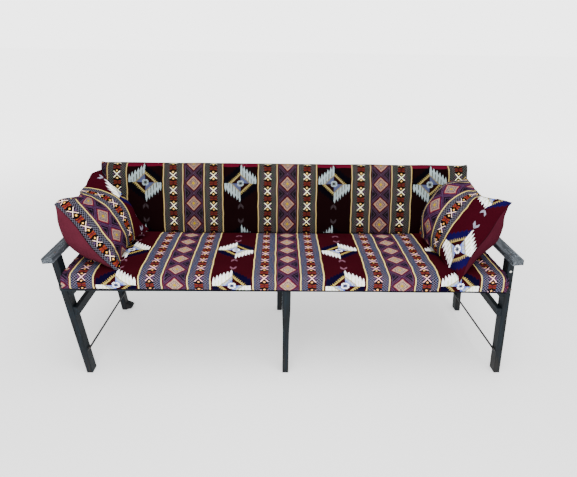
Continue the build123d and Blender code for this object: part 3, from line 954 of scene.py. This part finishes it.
def soften(piece: bpy.types.Object, height: float, size: float) -> None:
    """Adds low waves to the show side of a cover, and half as high ones between them."""
    mesh = piece.data
    linings = np.empty(len(mesh.vertices) * 3)
    mesh.attributes[CLOTH_ATTRIBUTE].data.foreach_get("vector", linings)
    shown = linings.reshape(-1, 3)[:, 2] < 0.5
    points = coordinates(mesh)
    elsewhere = Vector((5, 3, 1))
    for vertex in mesh.vertices:
        if shown[vertex.index]:
            wave = place_noise(vertex.co, size)
            wave += 0.5 * place_noise(vertex.co + elsewhere, size / 2.5)
            points[vertex.index] += np.array(vertex.normal) * height * wave
    move_points(mesh, points)


def refine(piece: bpy.types.Object) -> None:
    """Adds one subdivision level."""
    smooth = piece.modifiers.new("Subdivision", "SUBSURF")
    smooth.levels = smooth.render_levels = 1


@dataclass(frozen=True)
class Lay:
    """How a stretch of a pad's side view is laid out.

    The step is the distance between points, the stretch is cloth per length, the rounding
    draws the pad's ends in and the inset shortens them.
    """

    step: float
    rounding: float
    held: bool = True
    lining: Lining = Lining.PATTERNED
    stretch: float = 1.0
    inset: float = 0.0


@dataclass(frozen=True)
class SectionPoint:
    """A point of a pad's side view."""

    y: float
    z: float
    along: float
    lay: Lay


@dataclass
class Outline:
    """A closed side view, walked with the pad on the left."""

    points: list[SectionPoint] = field(default_factory=list)

    def line(self, path: Sequence[tuple[float, float]], start: float, lay: Lay) -> float:
        """Adds evenly spaced points on a path and returns the place on the cloth at its end."""
        spots = [np.array(spot) for spot in path]
        along = start
        for low, high in zip(spots, spots[1:]):
            run = float(np.linalg.norm(high - low))
            count = max(1, round(run / lay.step))
            for i in range(count):
                y, z = low + (high - low) * i / count
                place = along + lay.stretch * run * i / count
                self.points.append(SectionPoint(y, z, place, lay))
            along += lay.stretch * run
        return along

    def normals(self) -> list[np.ndarray]:
        """Direction out of the pad at each point."""
        spots = np.array([(p.y, p.z) for p in self.points])
        run = np.roll(spots, -1, axis=0) - np.roll(spots, 1, axis=0)
        outward = np.stack((-run[:, 1], run[:, 0]), axis=1)
        return list(outward / np.linalg.norm(outward, axis=1, keepdims=True))


def arc(
    centre: tuple[float, float], radius: float, start: float, end: float, count: int,
) -> list[tuple[float, float]]:
    """Points on an arc, angles in degrees."""
    angles = [math.radians(start + (end - start) * i / count) for i in range(count + 1)]
    return [(centre[0] + radius * math.cos(a), centre[1] + radius * math.sin(a)) for a in angles]


@dataclass(frozen=True)
class Stripes:
    """Where the stripes lie along the bench: middles of bands, half a repeat apart."""

    middles: tuple[float, ...]

    def cloth(self, x: float) -> float:
        """Place on the cloth across the stripes for a place along the bench."""
        half = WEAVE.repeat / 2
        first = -(len(self.middles) - 1) / 2
        places = [(first + i) * half for i in range(len(self.middles))]
        return float(np.interp(x, self.middles, places))


SEAT_STRIPES = Stripes((-0.886, -0.664, -0.440, -0.221, -0.005, 0.218, 0.439, 0.670, 0.882))
BACK_STRIPES = Stripes((-0.886, -0.664, -0.440, -0.221, -0.001, 0.218, 0.439, 0.670, 0.905))


def stations(half: float, rounding: float, step: float = 0.010) -> list[tuple[float, float]]:
    """Sections of a pad from its left end to its right end.

    Args:
        half: half the pad's length.
        rounding: radius of its ends.
        step: distance between sections.

    Returns:
        The place of each section from the middle, and how far its outline is drawn in.
    """
    straight = half - rounding
    count = max(2, round(2 * straight / step))
    sections = [(-half + rounding + 2 * straight * i / count, 0.0) for i in range(count + 1)]
    turns = [math.radians(angle) for angle in (35, 65, 90)]
    ends = [(straight + rounding * math.sin(turn), 1 - math.cos(turn)) for turn in turns]
    return [(-x, share) for x, share in reversed(ends)] + sections + ends


def sweep_pad(
    name: str, outline: Outline, low: float, high: float, stripes: Stripes,
    sag: Callable[[float, float], float],
) -> tuple[bpy.types.Object, list[int]]:
    """Sweeps a side view along the bench and closes its ends with rounded edges.

    Args:
        name: name of the piece.
        outline: its side view.
        low: left end.
        high: right end.
        stripes: layout of the stripes.
        sag: how far a point hangs lower, by its share of the half length and its height.

    Returns:
        The piece and the points that stay put in the simulation.
    """
    pad = Pad(name)
    middle, half = (low + high) / 2, (high - low) / 2
    normals = outline.normals()
    rings = []
    for x, share in stations(half, max(point.lay.rounding for point in outline.points)):
        ring = []
        for point, normal in zip(outline.points, normals):
            inward = share * point.lay.rounding
            y, z = point.y - normal[0] * inward, point.z - normal[1] * inward
            place = middle + x * (1 - point.lay.inset / half)
            cloth = (stripes.cloth(place), point.along, point.lay.lining.value)
            ring.append(pad.vertex((place, y, z - sag(x / half, z)), cloth))
        rings.append(ring)
    size = len(outline.points)
    for before, after in zip(rings, rings[1:]):
        for i in range(size):
            j = (i + 1) % size
            pad.mesh.faces.new((before[i], before[j], after[j], after[i]))
    caps = [pad.mesh.faces.new(rings[0]), pad.mesh.faces.new(list(reversed(rings[-1])))]
    pad.mesh.verts.index_update()
    held = [v.index for ring in rings for v, p in zip(ring, outline.points) if p.lay.held]
    held += [v.index for ring in (*rings[:3], *rings[-3:]) for v in ring]
    bmesh.ops.triangulate(pad.mesh, faces=caps)
    return pad.build(), held


# Bench


class Frame:
    """Timber, rods and fasteners, which keep their solids."""

    GRAINS = {
        Grain.Z: ("leg", "post"),
        Grain.Y: ("bearer", "stretcher", "arm"),
        Grain.X: ("rail", "slat"),
    }

    def __init__(self, nodes: dict[str, bpy.types.Object], materials: Materials) -> None:
        self.nodes = nodes
        self.timber = {
            grain: materials.timber(f"painted_{grain.name}", grain, PaintFinish())
            for grain in Grain
        }
        # The arms' finish is the lighter, lit copy of the paint: painted light.
        self.arms = materials.timber("painted_arm", Grain.Y, LIT_ARM_PAINT)
        self.iron = materials.metal("iron", IRON)
        self.steel = materials.metal("dark_steel", DARK_STEEL)
        self.zinc = materials.metal("zinc", ZINC)

    def finish(self, name: str) -> bpy.types.Material | None:
        """The finish of a node, or none for the covers and what fills them."""
        if name == "leg_face_screw":
            return self.zinc
        if "screw" in name or "tacks" in name:
            return self.steel
        if name.endswith("tie_rod"):
            return self.iron
        # Arms get the lit copy of the paint, with painted highlights.
        if name.endswith("_arm"):
            return self.arms
        for grain, words in self.GRAINS.items():
            if any(word in name for word in words):
                return self.timber[grain]
        return None

    def dress(self) -> list[bpy.types.Object]:
        """Gives every timber, rod and fastener its finish and returns them."""
        dressed = []
        for name, node in self.nodes.items():
            finish = self.finish(name)
            if finish is None:
                continue
            dressed.append(node)
            for slot in node.material_slots:
                slot.material = finish
        return dressed


@dataclass(frozen=True)
class SeatShape:
    """Sizes of the seat pad that the frame doesn't give.

    The apron is a row of (share of the bulge, height).
    """

    front_top: float = 0.484
    rear_top: float = 0.477
    crown: float = 0.0045
    crease: float = 0.025
    crease_run: float = 0.042
    hem_tilt: float = 0.0065
    hem_tilt_run: float = 0.02
    hem_turn: float = 0.004
    hem_lift: float = 0.003
    hem_gap: float = 0.0005
    rear_gap: float = 0.009
    tuck: float = 0.04
    nose: float = 0.015
    bulge: float = 0.003
    apron: tuple[tuple[float, float], ...] = ((0.8, 0.458), (1.0, 0.446), (0.7, 0.433))
    clearance: float = 0.0008
    end_round: float = 0.008
    apron_round: float = 0.003
    hem_round: float = 0.002
    cover: float = 0.0115
    pattern_stretch: float = 1.115
    pattern_start: float = -0.2885
    rise: float = 0.0065
    top_shares: tuple[float, ...] = (
        0, 0.02, 0.04, 0.06, 0.085, 0.12, 0.16, 0.25,
        0.35, 0.45, 0.55, 0.65, 0.75, 0.85, 0.93, 1,
    )

    def top(self, share: float) -> float:
        """Height of the pad's top at a share of its depth from the rear."""
        level = self.rear_top + (self.front_top - self.rear_top) * share
        return level + self.crown * 4 * share * (1 - share)


class SeatPad:
    """Seat pad whose cover hangs over the front rail as an apron."""

    def __init__(self, shape: SeatShape, finish: bpy.types.Material) -> None:
        self.shape = shape
        self.finish = finish
        low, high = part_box("seat_cover")
        self.front, self.rear = low.y + shape.bulge, high.y
        self.hem = low.z + shape.hem_gap

    def surface(self, y: float) -> float:
        """Height of the pad's top at a place from rear to front, and 0 in front of the pad."""
        shape, front, rear = self.shape, self.front, self.rear
        if y < front - 0.002:
            return 0.0
        share = min(1.0, (rear - y) / (rear - front - shape.nose))
        over = max(0.0, front + shape.nose - y)
        drop = shape.nose - math.sqrt(max(0.0, shape.nose ** 2 - over ** 2))
        return shape.top(share) - drop + shape.rise

    def top_path(self) -> list[tuple[float, float]]:
        """Top of the pad from the crease at the back to the nose."""
        shape, path = self.shape, []
        for share in shape.top_shares:
            y = self.rear + (self.front + shape.nose - self.rear) * share
            dip = max(0.0, 1 - (self.rear - y) / shape.crease_run)
            path.append((y, shape.top(share) - shape.crease * dip * dip))
        return path

    def side_view(self) -> Outline:
        """Side view of the pad and apron, with the cloth measured from the junction."""
        shape, front, hem = self.shape, self.front, self.hem
        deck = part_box("seat_slat_1")[1].z + shape.clearance
        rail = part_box("front_rail")[0].y - shape.clearance
        nose = arc((front + shape.nose, shape.front_top - shape.nose), shape.nose, 90, 180, 5)
        turn = (front + 0.001, hem + shape.hem_turn)
        inner = (rail, hem + shape.hem_lift)
        hem_path = [turn, (front + shape.hem_turn, hem), (rail - 0.002, hem), inner]
        apron = [
            (front, shape.front_top - shape.nose),
            *((front - shape.bulge * share, height) for share, height in shape.apron),
            turn,
        ]
        top, rear = self.top_path(), (self.rear - shape.rear_gap, deck)

        def shown(step: float, rounding: float, held: bool = False) -> Lay:
            return Lay(step, rounding, held, stretch=shape.pattern_stretch)

        outline = Outline()
        start = shape.pattern_start
        tucked = shown(0.010, shape.end_round, held=True)
        outline.line([rear, top[0]], start - shape.tuck, tucked)
        along = outline.line(top, start, shown(0.009, shape.end_round))
        along = outline.line(nose, along, shown(0.006, shape.end_round))
        along = outline.line(apron, along, shown(0.008, shape.apron_round))
        hem_lay = replace(shown(0.004, shape.hem_round, held=True), lining=Lining.HEM)
        outline.line(hem_path, along, hem_lay)
        inside = Lay(0.010, shape.hem_round, lining=Lining.PLAIN, stretch=0.0)
        outline.line([inner, (rail, deck)], 0.0, inside)
        under = Lay(0.022, shape.end_round / 2, lining=Lining.PLAIN)
        outline.line([(rail, deck), rear], 0.0, under)
        return outline

    def make(self) -> bpy.types.Object:
        """Builds, fills and dresses the seat pad."""
        shape = self.shape
        low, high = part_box("seat_foam")
        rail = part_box("front_rail")[1].z

        def hang(share: float, z: float) -> float:
            return shape.hem_tilt * share * min(1.0, max(0.0, (rail - z) / shape.hem_tilt_run))

        piece, held = sweep_pad(
            "seat_pad", self.side_view(), low.x - shape.cover, high.x + shape.cover,
            SEAT_STRIPES, hang,
        )
        inflate(piece, held, PAD_FILL)
        soften(piece, height=0.0014, size=0.16)
        refine(piece)
        piece.data.materials.append(self.finish)
        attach(piece, "bench")
        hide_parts("seat_cover", "seat_foam")
        return piece


@dataclass(frozen=True)
class BackShape:
    """Sizes of the back pad that the frame doesn't give."""

    junction: tuple[float, float] = (0.1668, 0.4770)
    recline: float = 15.4
    length: float = 0.313
    drop: float = 0.020
    thickness: float = 0.030
    crown: float = 0.005
    top_round: float = 0.013
    slat_depth: float = 0.015
    clearance: float = 0.0004
    fold: float = 0.0028
    fold_drop: float = 0.018
    fold_round: float = 0.0012
    fold_inset: float = 0.007
    lip: float = 0.005
    lip_turn: float = 0.001
    lip_rise: float = 0.004
    lip_inset: float = 0.004
    tuck: float = 0.05
    end_round: float = 0.006
    end_gap: float = 0.0005
    pattern_start: float = -0.0915


class BackPad:
    """Back pad whose cover is folded over the top slat."""

    def __init__(self, shape: BackShape, finish: bpy.types.Material) -> None:
        self.shape = shape
        self.finish = finish

    def point(self, along: float, forward: float) -> tuple[float, float]:
        """Point up the slope of the back and in front of its face."""
        angle = math.radians(self.shape.recline)
        y, z = self.shape.junction
        return (
            y + along * math.sin(angle) - forward * math.cos(angle),
            z + along * math.cos(angle) + forward * math.sin(angle),
        )

    def turn_path(self) -> list[tuple[float, float]]:
        """Rounded top edge, from the slat to the face."""
        top, radius = self.shape.length, self.shape.top_round
        turns = [math.radians(angle) for angle in (90, 67, 45, 22, 0)]
        return [
            self.point(top - radius + radius * math.sin(a), -radius + radius * math.cos(a))
            for a in turns
        ]

    def face_path(self, steps: int = 12) -> list[tuple[float, float]]:
        """Face of the pad, from its top edge down."""
        shape, path = self.shape, []
        for i in range(steps + 1):
            share = i / steps
            along = shape.length - shape.top_round
            along += (-shape.drop - shape.length + shape.top_round) * share
            path.append(self.point(along, shape.crown * 4 * share * (1 - share)))
        return path

    def side_view(self) -> Outline:
        """Side view, with the cloth measured from the top edge down."""
        shape = self.shape
        top, bottom = shape.length, -shape.drop
        rear = -shape.thickness + shape.clearance
        slat_rear = -(shape.thickness + shape.slat_depth) - shape.clearance
        fold = slat_rear - shape.fold
        over = [self.point(*spot) for spot in (
            (top - shape.fold_drop, slat_rear), (top - shape.fold_drop, fold),
            (top - shape.lip, fold), (top - shape.lip_turn, fold + shape.lip - shape.lip_turn),
            (top, fold + shape.lip + shape.lip_rise), (top, -shape.top_round),
        )]
        under = [self.point(*spot) for spot in (
            (bottom, 0.0), (bottom, rear), (top - shape.lip, rear), (top - shape.lip, slat_rear),
            (top - shape.fold_drop, slat_rear),
        )]
        fold_lay = Lay(0.009, shape.fold_round, inset=shape.fold_inset)
        lip_lay = Lay(0.008, shape.fold_round, inset=shape.lip_inset)
        outline = Outline()
        start = shape.pattern_start - shape.tuck - shape.fold_drop
        along = outline.line(over[:3], start, fold_lay)
        outline.line(over[2:], along, lip_lay)
        start = shape.pattern_start + shape.top_round
        turn_start = start - shape.top_round * math.pi / 2
        outline.line(self.turn_path(), turn_start, Lay(0.006, shape.end_round, held=False))
        outline.line(self.face_path(), start, Lay(0.009, shape.end_round, held=False))
        outline.line(under[:3], 0.0, Lay(0.018, shape.end_round, lining=Lining.PLAIN))
        outline.line(under[2:], 0.0, replace(fold_lay, step=0.010, lining=Lining.PLAIN))
        return outline

    def make(self) -> bpy.types.Object:
        """Builds, fills and dresses the back pad."""
        low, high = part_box("back_cover")
        gap = self.shape.end_gap
        piece, held = sweep_pad(
            "back_pad", self.side_view(), low.x + gap, high.x - gap, BACK_STRIPES,
            lambda share, z: 0.0,
        )
        inflate(piece, held, PAD_FILL)
        soften(piece, height=0.0014, size=0.15)
        refine(piece)
        piece.data.materials.append(self.finish)
        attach(piece, "bench")
        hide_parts("back_cover", "back_foam")
        return piece


# Cushions


@dataclass(frozen=True)
class Fold:
    """A valley pressed into a cover, between two places given as shares of the half sides."""

    start: tuple[float, float]
    end: tuple[float, float]
    depth: float
    width: float

    def dip(self, s: float, t: float) -> float:
        """Depth of the valley at a place, full at its start and gone at its end."""
        run_s, run_t = self.end[0] - self.start[0], self.end[1] - self.start[1]
        off_s, off_t = s - self.start[0], t - self.start[1]
        share = (off_s * run_s + off_t * run_t) / (run_s * run_s + run_t * run_t)
        share = min(1.0, max(0.0, share))
        gap = math.hypot(off_s - run_s * share, off_t - run_t * share)
        return self.depth * (1 - share) * math.exp(-((gap / self.width) ** 2))


class Sheet(Enum):
    """A side of a cushion, or both of them."""

    BOTH = 0
    FACE = 1
    BACKING = -1


@dataclass(frozen=True)
class Tug:
    """A soft pull around one place of a cushion's square, in metres along the bench's axes."""

    place: tuple[float, float]
    reach: float
    move: tuple[float, float, float]
    sheet: Sheet = Sheet.BOTH

    def shift(self, shares: np.ndarray, sheets: np.ndarray) -> np.ndarray:
        """How far each point goes, from its place on the square and the side that it is on."""
        weight = np.exp(-((shares - np.array(self.place)) ** 2).sum(axis=1) / self.reach ** 2)
        if self.sheet is not Sheet.BOTH:
            room = np.clip(4 * (1 - shares[:, 0] ** 2) * (1 - shares[:, 1] ** 2), 0, 1)
            weight = weight * room * (sheets == self.sheet.value)
        return np.outer(weight, self.move)


@dataclass(frozen=True)
class CushionShape:
    """A stuffed square: its seam, fullness and puckers."""

    side: float = 0.336
    solid_face: float = 0.066
    face: float = 0.066
    face_bow: tuple[float, float, float] = (0.70, 0.40, 0.50)
    rear: float = 0.150
    rear_bow: tuple[float, float, float] = (0.70, 0.42, 0.50)
    seam: float = 0.003
    draw: float = 0.011
    pucker: float = 0.0042
    pucker_pitch: float = 0.028
    pucker_reach: float = 0.055
    wrinkle: float = 0.0032
    wrinkle_size: float = 0.060
    arm_gap: float = 0.0075
    cells: int = 44


@dataclass(frozen=True)
class CushionPose:
    """How a cushion leans, where its cloth was cut, and how it is pulled out of the square.

    The angles are in degrees.
    """

    name: str
    side: int
    tilt: float
    turn: float
    roll: float
    cloth_middle: tuple[float, float]
    cloth_size: tuple[float, float]
    tugs: tuple[Tug, ...]
    folds: tuple[Fold, ...] = ()

    def rotation(self) -> Matrix:
        """Rotation from lying flat to leaning."""
        return (
            Matrix.Rotation(math.radians(self.turn), 3, "Z")
            @ Matrix.Rotation(math.radians(self.roll), 3, "X")
            @ Matrix.Rotation(math.radians(self.side * self.tilt), 3, "Y")
        )


LEFT_POSE = CushionPose(
    "left", 1, 57, -6.5, 4.4, (0.0785, -0.085), (0.407, 0.369),
    tugs=(
        Tug((-1.0, 1.0), 0.35, (0.012, 0.0, -0.006)),
        Tug((-1.0, 1.0), 0.16, (0.014, 0.0, -0.008)),
        Tug((-0.75, 0.85), 0.30, (0.0, 0.0, 0.022)),
        Tug((-1.0, -1.0), 0.17, (0.014, 0.0, -0.016)),
        Tug((-1.0, -1.0), 0.50, (-0.014, 0.0, 0.0)),
        Tug((1.0, -1.0), 0.40, (0.016, -0.010, -0.012)),
        Tug((0.35, -1.0), 0.55, (-0.011, -0.004, -0.013)),
        Tug((-1.0, -0.45), 0.35, (0.045, 0.0, -0.015)),
        Tug((-1.0, 0.25), 0.45, (0.0, 0.0, -0.034)),
        Tug((1.0, 1.0), 0.35, (0.014, 0.0, -0.004)),
        Tug((0.1, 0.6), 0.6, (0.018, 0.0, 0.012), Sheet.FACE),
        Tug((-0.1, -0.7), 0.7, (-0.020, 0.0, -0.014), Sheet.BACKING),
    ),
    folds=(
        Fold((-0.9, 0.50), (0.3, 0.64), 0.016, 0.06),
        Fold((-0.2, 0.82), (0.75, 0.76), 0.010, 0.05),
        Fold((-0.9, -0.15), (-0.3, -0.22), 0.012, 0.07),
        Fold((0.9, 0.35), (0.3, 0.20), 0.008, 0.07),
    ),
)
RIGHT_POSE = CushionPose(
    "right", -1, 62, 11, 5.3, (0.3685, 0.098), (0.443, 0.362),
    tugs=(
        Tug((1.0, 1.0), 0.5, (0.028, 0.0, -0.030)),
        Tug((0.62, 0.7), 0.45, (-0.020, 0.0, 0.022), Sheet.FACE),
        Tug((0.2, 0.6), 0.6, (-0.018, 0.0, 0.016), Sheet.FACE),
        Tug((-0.3, 0.7), 0.45, (-0.024, 0.0, 0.0), Sheet.FACE),
        Tug((-1.0, 1.0), 0.35, (0.004, 0.0, 0.010)),
        Tug((-1.0, 1.0), 0.17, (0.018, 0.0, 0.004)),
        Tug((0.0, -1.0), 0.7, (0.034, 0.0, 0.0)),
        Tug((0.0, -0.7), 0.7, (0.006, 0.0, -0.004), Sheet.BACKING),
        Tug((-1.0, -1.0), 0.4, (0.012, -0.045, -0.020)),
        Tug((1.0, -1.0), 0.35, (0.016, 0.0, 0.0)),
        Tug((1.0, -0.45), 0.35, (-0.030, 0.0, -0.004)),
        Tug((1.0, 0.1), 0.5, (0.0, 0.0, -0.022)),
    ),
    folds=(
        Fold((0.85, -0.70), (0.15, -0.25), 0.014, 0.07),
        Fold((0.9, 0.62), (0.1, 0.72), 0.016, 0.06),
        Fold((0.9, 0.35), (0.3, 0.52), 0.012, 0.05),
        Fold((-0.9, 0.5), (-0.2, 0.45), 0.010, 0.07),
    ),
)


class Cushion:
    """Loose cushion with a patterned face and a plain backing."""

    def __init__(
        self, shape: CushionShape, pose: CushionPose, finish: bpy.types.Material,
    ) -> None:
        self.shape = shape
        self.pose = pose
        self.finish = finish

    def outline(self, s: float, t: float) -> tuple[float, float]:
        """Place of a point on the flat square, its sides drawn in between the corners."""
        half, draw = self.shape.side / 2, self.shape.draw
        return s * (half - draw * (1 - t * t)), t * (half - draw * (1 - s * s))

    def puckers(self, s: float, t: float, layer: float) -> float:
        """Height of the puckers that the seam draws into the cloth near it."""
        shape = self.shape
        x, y = self.outline(s, t)
        lift = 0.0
        for share, run, seam in ((s, y, 1), (t, x, 2)):
            gap = shape.side / 2 * (1 - abs(share))
            bite = math.sin(math.pi * min(1.0, gap / shape.pucker_reach))
            if gap >= shape.pucker_reach:
                bite = 0.0
            spot = Vector((run, math.copysign(seam, share), layer))
            lift += shape.pucker * place_noise(spot, shape.pucker_pitch) * bite
        return lift

    def height(self, s: float, t: float, face: bool) -> float:
        """Height of the stuffing over the seam's plane, with the folds and puckers."""
        shape = self.shape
        full, bow = (shape.face, shape.face_bow) if face else (shape.rear, shape.rear_bow)
        pucker_layer, wrinkle_layer = (0.3, 1.3) if face else (0.7, 2.1)
        along, across = max(0.0, 1 - s * s), max(0.0, 1 - t * t)
        edge = bow[1] + (bow[2] - bow[1]) * (1 + t) / 2
        lift = shape.seam * 0.3 + (full - shape.seam) * along ** bow[0] * across ** edge
        if face:
            dips = sum(fold.dip(s, t) for fold in self.pose.folds)
            lift -= dips * min(1.0, 6 * along * across)
        spot = Vector((*self.outline(s, t), wrinkle_layer))
        wrinkle = place_noise(spot, shape.wrinkle_size) * min(1.0, 5 * along * across)
        return lift + self.puckers(s, t, pucker_layer) + shape.wrinkle * wrinkle

    def face_net(self, shares: Sequence[float]) -> tuple[np.ndarray, np.ndarray]:
        """Lays the face's cloth: each row and column takes the whole cloth by its own length.

        Args:
            shares: places of the rows, and of the columns.

        Returns:
            The points of the face, and the place on the cloth of each.
        """
        pose = self.pose
        net = np.array([
            [(*self.outline(s, t), self.height(s, t, True)) for t in shares] for s in shares
        ])

        def spread(axis: int) -> np.ndarray:
            steps = np.linalg.norm(np.diff(net, axis=axis), axis=2)
            run = np.insert(np.cumsum(steps, axis=axis), 0, 0.0, axis=axis)
            return run / np.take(run, [-1], axis=axis) - 0.5

        across = pose.cloth_middle[0] + spread(1) * pose.cloth_size[0]
        along = pose.cloth_middle[1] + spread(0) * pose.cloth_size[1]
        return net, np.stack((across, along), axis=2)

    def sew(self) -> tuple[bpy.types.Object, np.ndarray, set[int]]:
        """Joins face and backing along the seam.

        Returns:
            The cushion lying flat, each point's place on the square with its sheet, and the
            points of the seam.
        """
        pad = Pad(f"{self.pose.name}_cushion")
        cells = self.shape.cells
        shares = [math.sin((i / cells - 0.5) * math.pi) for i in range(cells + 1)]
        net, cloth = self.face_net(shares)
        places: list[tuple[float, float, int]] = []
        seam: dict[tuple[int, int], bmesh.types.BMVert] = {}
        for sheet, lining in ((Sheet.FACE, Lining.PATTERNED), (Sheet.BACKING, Lining.PLAIN)):
            rows: list[list[bmesh.types.BMVert]] = []
            for i, s in enumerate(shares):
                row = []
                for j, t in enumerate(shares):
                    rim = i in (0, cells) or j in (0, cells)
                    if rim and (i, j) in seam:
                        row.append(seam[i, j])
                        continue
                    x, y, lift = net[i, j]
                    if rim:
                        lift = 0.0
                    elif sheet is Sheet.BACKING:
                        lift = -self.height(s, t, False)
                    vertex = pad.vertex((x, y, lift), (*cloth[i, j], lining.value))
                    places.append((s, t, 0 if rim else sheet.value))
                    row.append(vertex)
                    if rim:
                        seam[i, j] = vertex
                rows.append(row)
            for near, far in zip(rows, rows[1:]):
                for j in range(cells):
                    pad.mesh.faces.new((near[j], far[j], far[j + 1], near[j + 1]))
        pad.mesh.verts.index_update()
        held = {vertex.index for vertex in seam.values()}
        return pad.build(), np.array(places), held

    def make(
        self, solids: dict[str, bpy.types.Object], ground: Callable[[float], float],
    ) -> bpy.types.Object:
        """Builds, fills, places and dresses the cushion.

        Args:
            solids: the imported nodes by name, which show how the cushion leans.
            ground: height of the seat at a place from rear to front.

        Returns:
            The cushion.
        """
        name = self.pose.name
        piece, places, held = self.sew()
        inflate(piece, held, CUSHION_FILL)
        self.place(piece, solids[f"{name}_cushion_cover"], places, ground)
        refine(piece)
        piece.data.materials.append(self.finish)
        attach(piece, f"{name}_cushion")
        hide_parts(f"{name}_cushion_cover", f"{name}_cushion_filling")
        return piece

    def place(
        self, piece: bpy.types.Object, solid: bpy.types.Object, places: np.ndarray,
        ground: Callable[[float], float],
    ) -> None:
        """Leans the cushion where its solid leans, pulls it into shape and rests it on the seat.

        Args:
            piece: the cushion, lying flat.
            solid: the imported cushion.
            places: each point's place on the square and its sheet.
            ground: height of the seat at a place from rear to front.
        """
        turn = np.array(self.pose.rotation())
        local = coordinates(solid.data) @ turn
        low, high = local.min(axis=0), local.max(axis=0)
        origin = (low + high) / 2
        origin[2] = high[2] - self.shape.solid_face
        moved = (coordinates(piece.data) + origin) @ turn.T
        for tug in self.pose.tugs:
            moved += tug.shift(places[:, :2], places[:, 2])
        moved[:, 2] = np.maximum(moved[:, 2], [ground(y) for y in moved[:, 1]])
        self.clear_arm(moved)
        move_points(piece.data, moved)

    def clear_arm(self, points: np.ndarray) -> None:
        """Presses points out of the arm, through its top or inner side, whichever is nearer."""
        low, high = (np.array(corner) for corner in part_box(f"{self.pose.name}_arm"))
        gap = self.shape.arm_gap
        within = ((points > low - gap) & (points < high + gap)).all(axis=1)
        up = high[2] + gap - points[:, 2]
        inward = (high[0] + gap if self.pose.side > 0 else low[0] - gap) - points[:, 0]
        lifted = within & (up < abs(inward))
        pushed = within & ~lifted
        points[lifted, 2] += up[lifted]
        points[pushed, 0] += inward[pushed]


# Studio


@dataclass(frozen=True)
class View:
    """Camera of the photograph, angles in degrees."""

    place: tuple[float, float, float] = (-0.0441, -1.8534, 1.3500)
    pitch: float = 24.44
    yaw: float = 1.44
    roll: float = 0.96
    lens: float = 28.71


@dataclass(frozen=True)
class Lamp:
    """A soft square lamp that looks at a point."""

    name: str
    place: tuple[float, float, float]
    aim: tuple[float, float, float]
    size: float
    power: float

    def add(self) -> None:
        """Adds the lamp to the scene."""
        data = bpy.data.lights.new(self.name, "AREA")
        data.energy = self.power
        data.size = self.size
        lamp = bpy.data.objects.new(self.name, data)
        lamp.location = self.place
        look = Vector(self.aim) - Vector(self.place)
        lamp.rotation_euler = look.to_track_quat("-Z", "Y").to_euler()
        bpy.context.scene.collection.objects.link(lamp)


class Studio:
    """Camera, pale floor and soft light."""

    LAMPS = (
        Lamp("key", (-0.3, -2.6, 1.2), (0.0, -0.3, 0.4), size=2.0, power=42.0),
        Lamp("top", (0.2, -0.9, 3.0), (0.0, -0.1, 0.4), size=2.6, power=125.0),
    )
    FLOOR_SIZE = 60.0
    SURROUNDINGS = 0.8
    BACKDROP = 3.0

    def __init__(self, view: View, floor: bpy.types.Material) -> None:
        self.view = view
        self.floor = floor

    def build(self) -> None:
        """Sets up the camera, the light and the floor."""
        self.camera()
        self.light()
        self.ground()

    def camera(self) -> None:
        """Sets the camera at the photograph's place."""
        view = self.view
        pitch, yaw, roll = (math.radians(a) for a in (view.pitch, view.yaw, view.roll))
        ahead = Vector((
            math.sin(yaw) * math.cos(pitch), math.cos(yaw) * math.cos(pitch), -math.sin(pitch),
        ))
        level = Vector((math.cos(yaw), -math.sin(yaw), 0.0))
        upward = level.cross(ahead)
        right = math.cos(roll) * level + math.sin(roll) * upward
        top = -math.sin(roll) * level + math.cos(roll) * upward
        data = bpy.data.cameras.new("camera")
        data.lens = view.lens
        camera = bpy.data.objects.new("camera", data)
        turn = Matrix((right, top, -ahead)).transposed()
        camera.matrix_world = Matrix.Translation(view.place) @ turn.to_4x4()
        bpy.context.scene.collection.objects.link(camera)
        bpy.context.scene.camera = camera

    def light(self) -> None:
        """Adds the lamps and the pale surroundings."""
        for lamp in self.LAMPS:
            lamp.add()
        world = bpy.data.worlds.new("studio")
        world.use_nodes = True
        graph = Graph(world.node_tree)
        seen = Wire(graph, graph.node("ShaderNodeLightPath").outputs["Is Camera Ray"])
        strength = seen * self.BACKDROP + self.SURROUNDINGS
        background = world.node_tree.nodes["Background"]
        graph.fill(background, {"Color": (1.0, 1.0, 1.0, 1.0), "Strength": strength})
        bpy.context.scene.world = world

    def ground(self) -> None:
        """Lays the pale floor."""
        bpy.ops.mesh.primitive_plane_add(size=self.FLOOR_SIZE)
        floor = bpy.context.object
        floor.name = "floor"
        floor.data.materials.append(self.floor)


def main() -> None:
    """Loads the frame, dresses it, sews the soft pieces and sets the studio."""
    logging.basicConfig(level=logging.INFO)
    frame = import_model()
    materials = Materials()
    Studio(View(), materials.floor()).build()
    log.info("studio ready")

    for node in Frame(frame["nodes"], materials).dress():
        log.info("%s dressed", node.name)

    seat = SeatPad(SeatShape(), materials.cover("seat_kilim", LIT_SEAT_CLOTH))
    back = BackPad(BackShape(), materials.cover("back_kilim", SHADED_BACK_CLOTH))
    pieces = [seat.make(), back.make()]
    for pose, cut in ((LEFT_POSE, LIT_LEFT_CLOTH), (RIGHT_POSE, LIT_RIGHT_CLOTH)):
        cloth = materials.cover(f"{pose.name}_cushion_kilim", cut)
        cushion = Cushion(CushionShape(), pose, cloth)
        pieces.append(cushion.make(frame["nodes"], seat.surface))
    for piece in pieces:
        log.info("%s sewn, %d points", piece.name, len(piece.data.vertices))


if __name__ == "__main__":
    main()
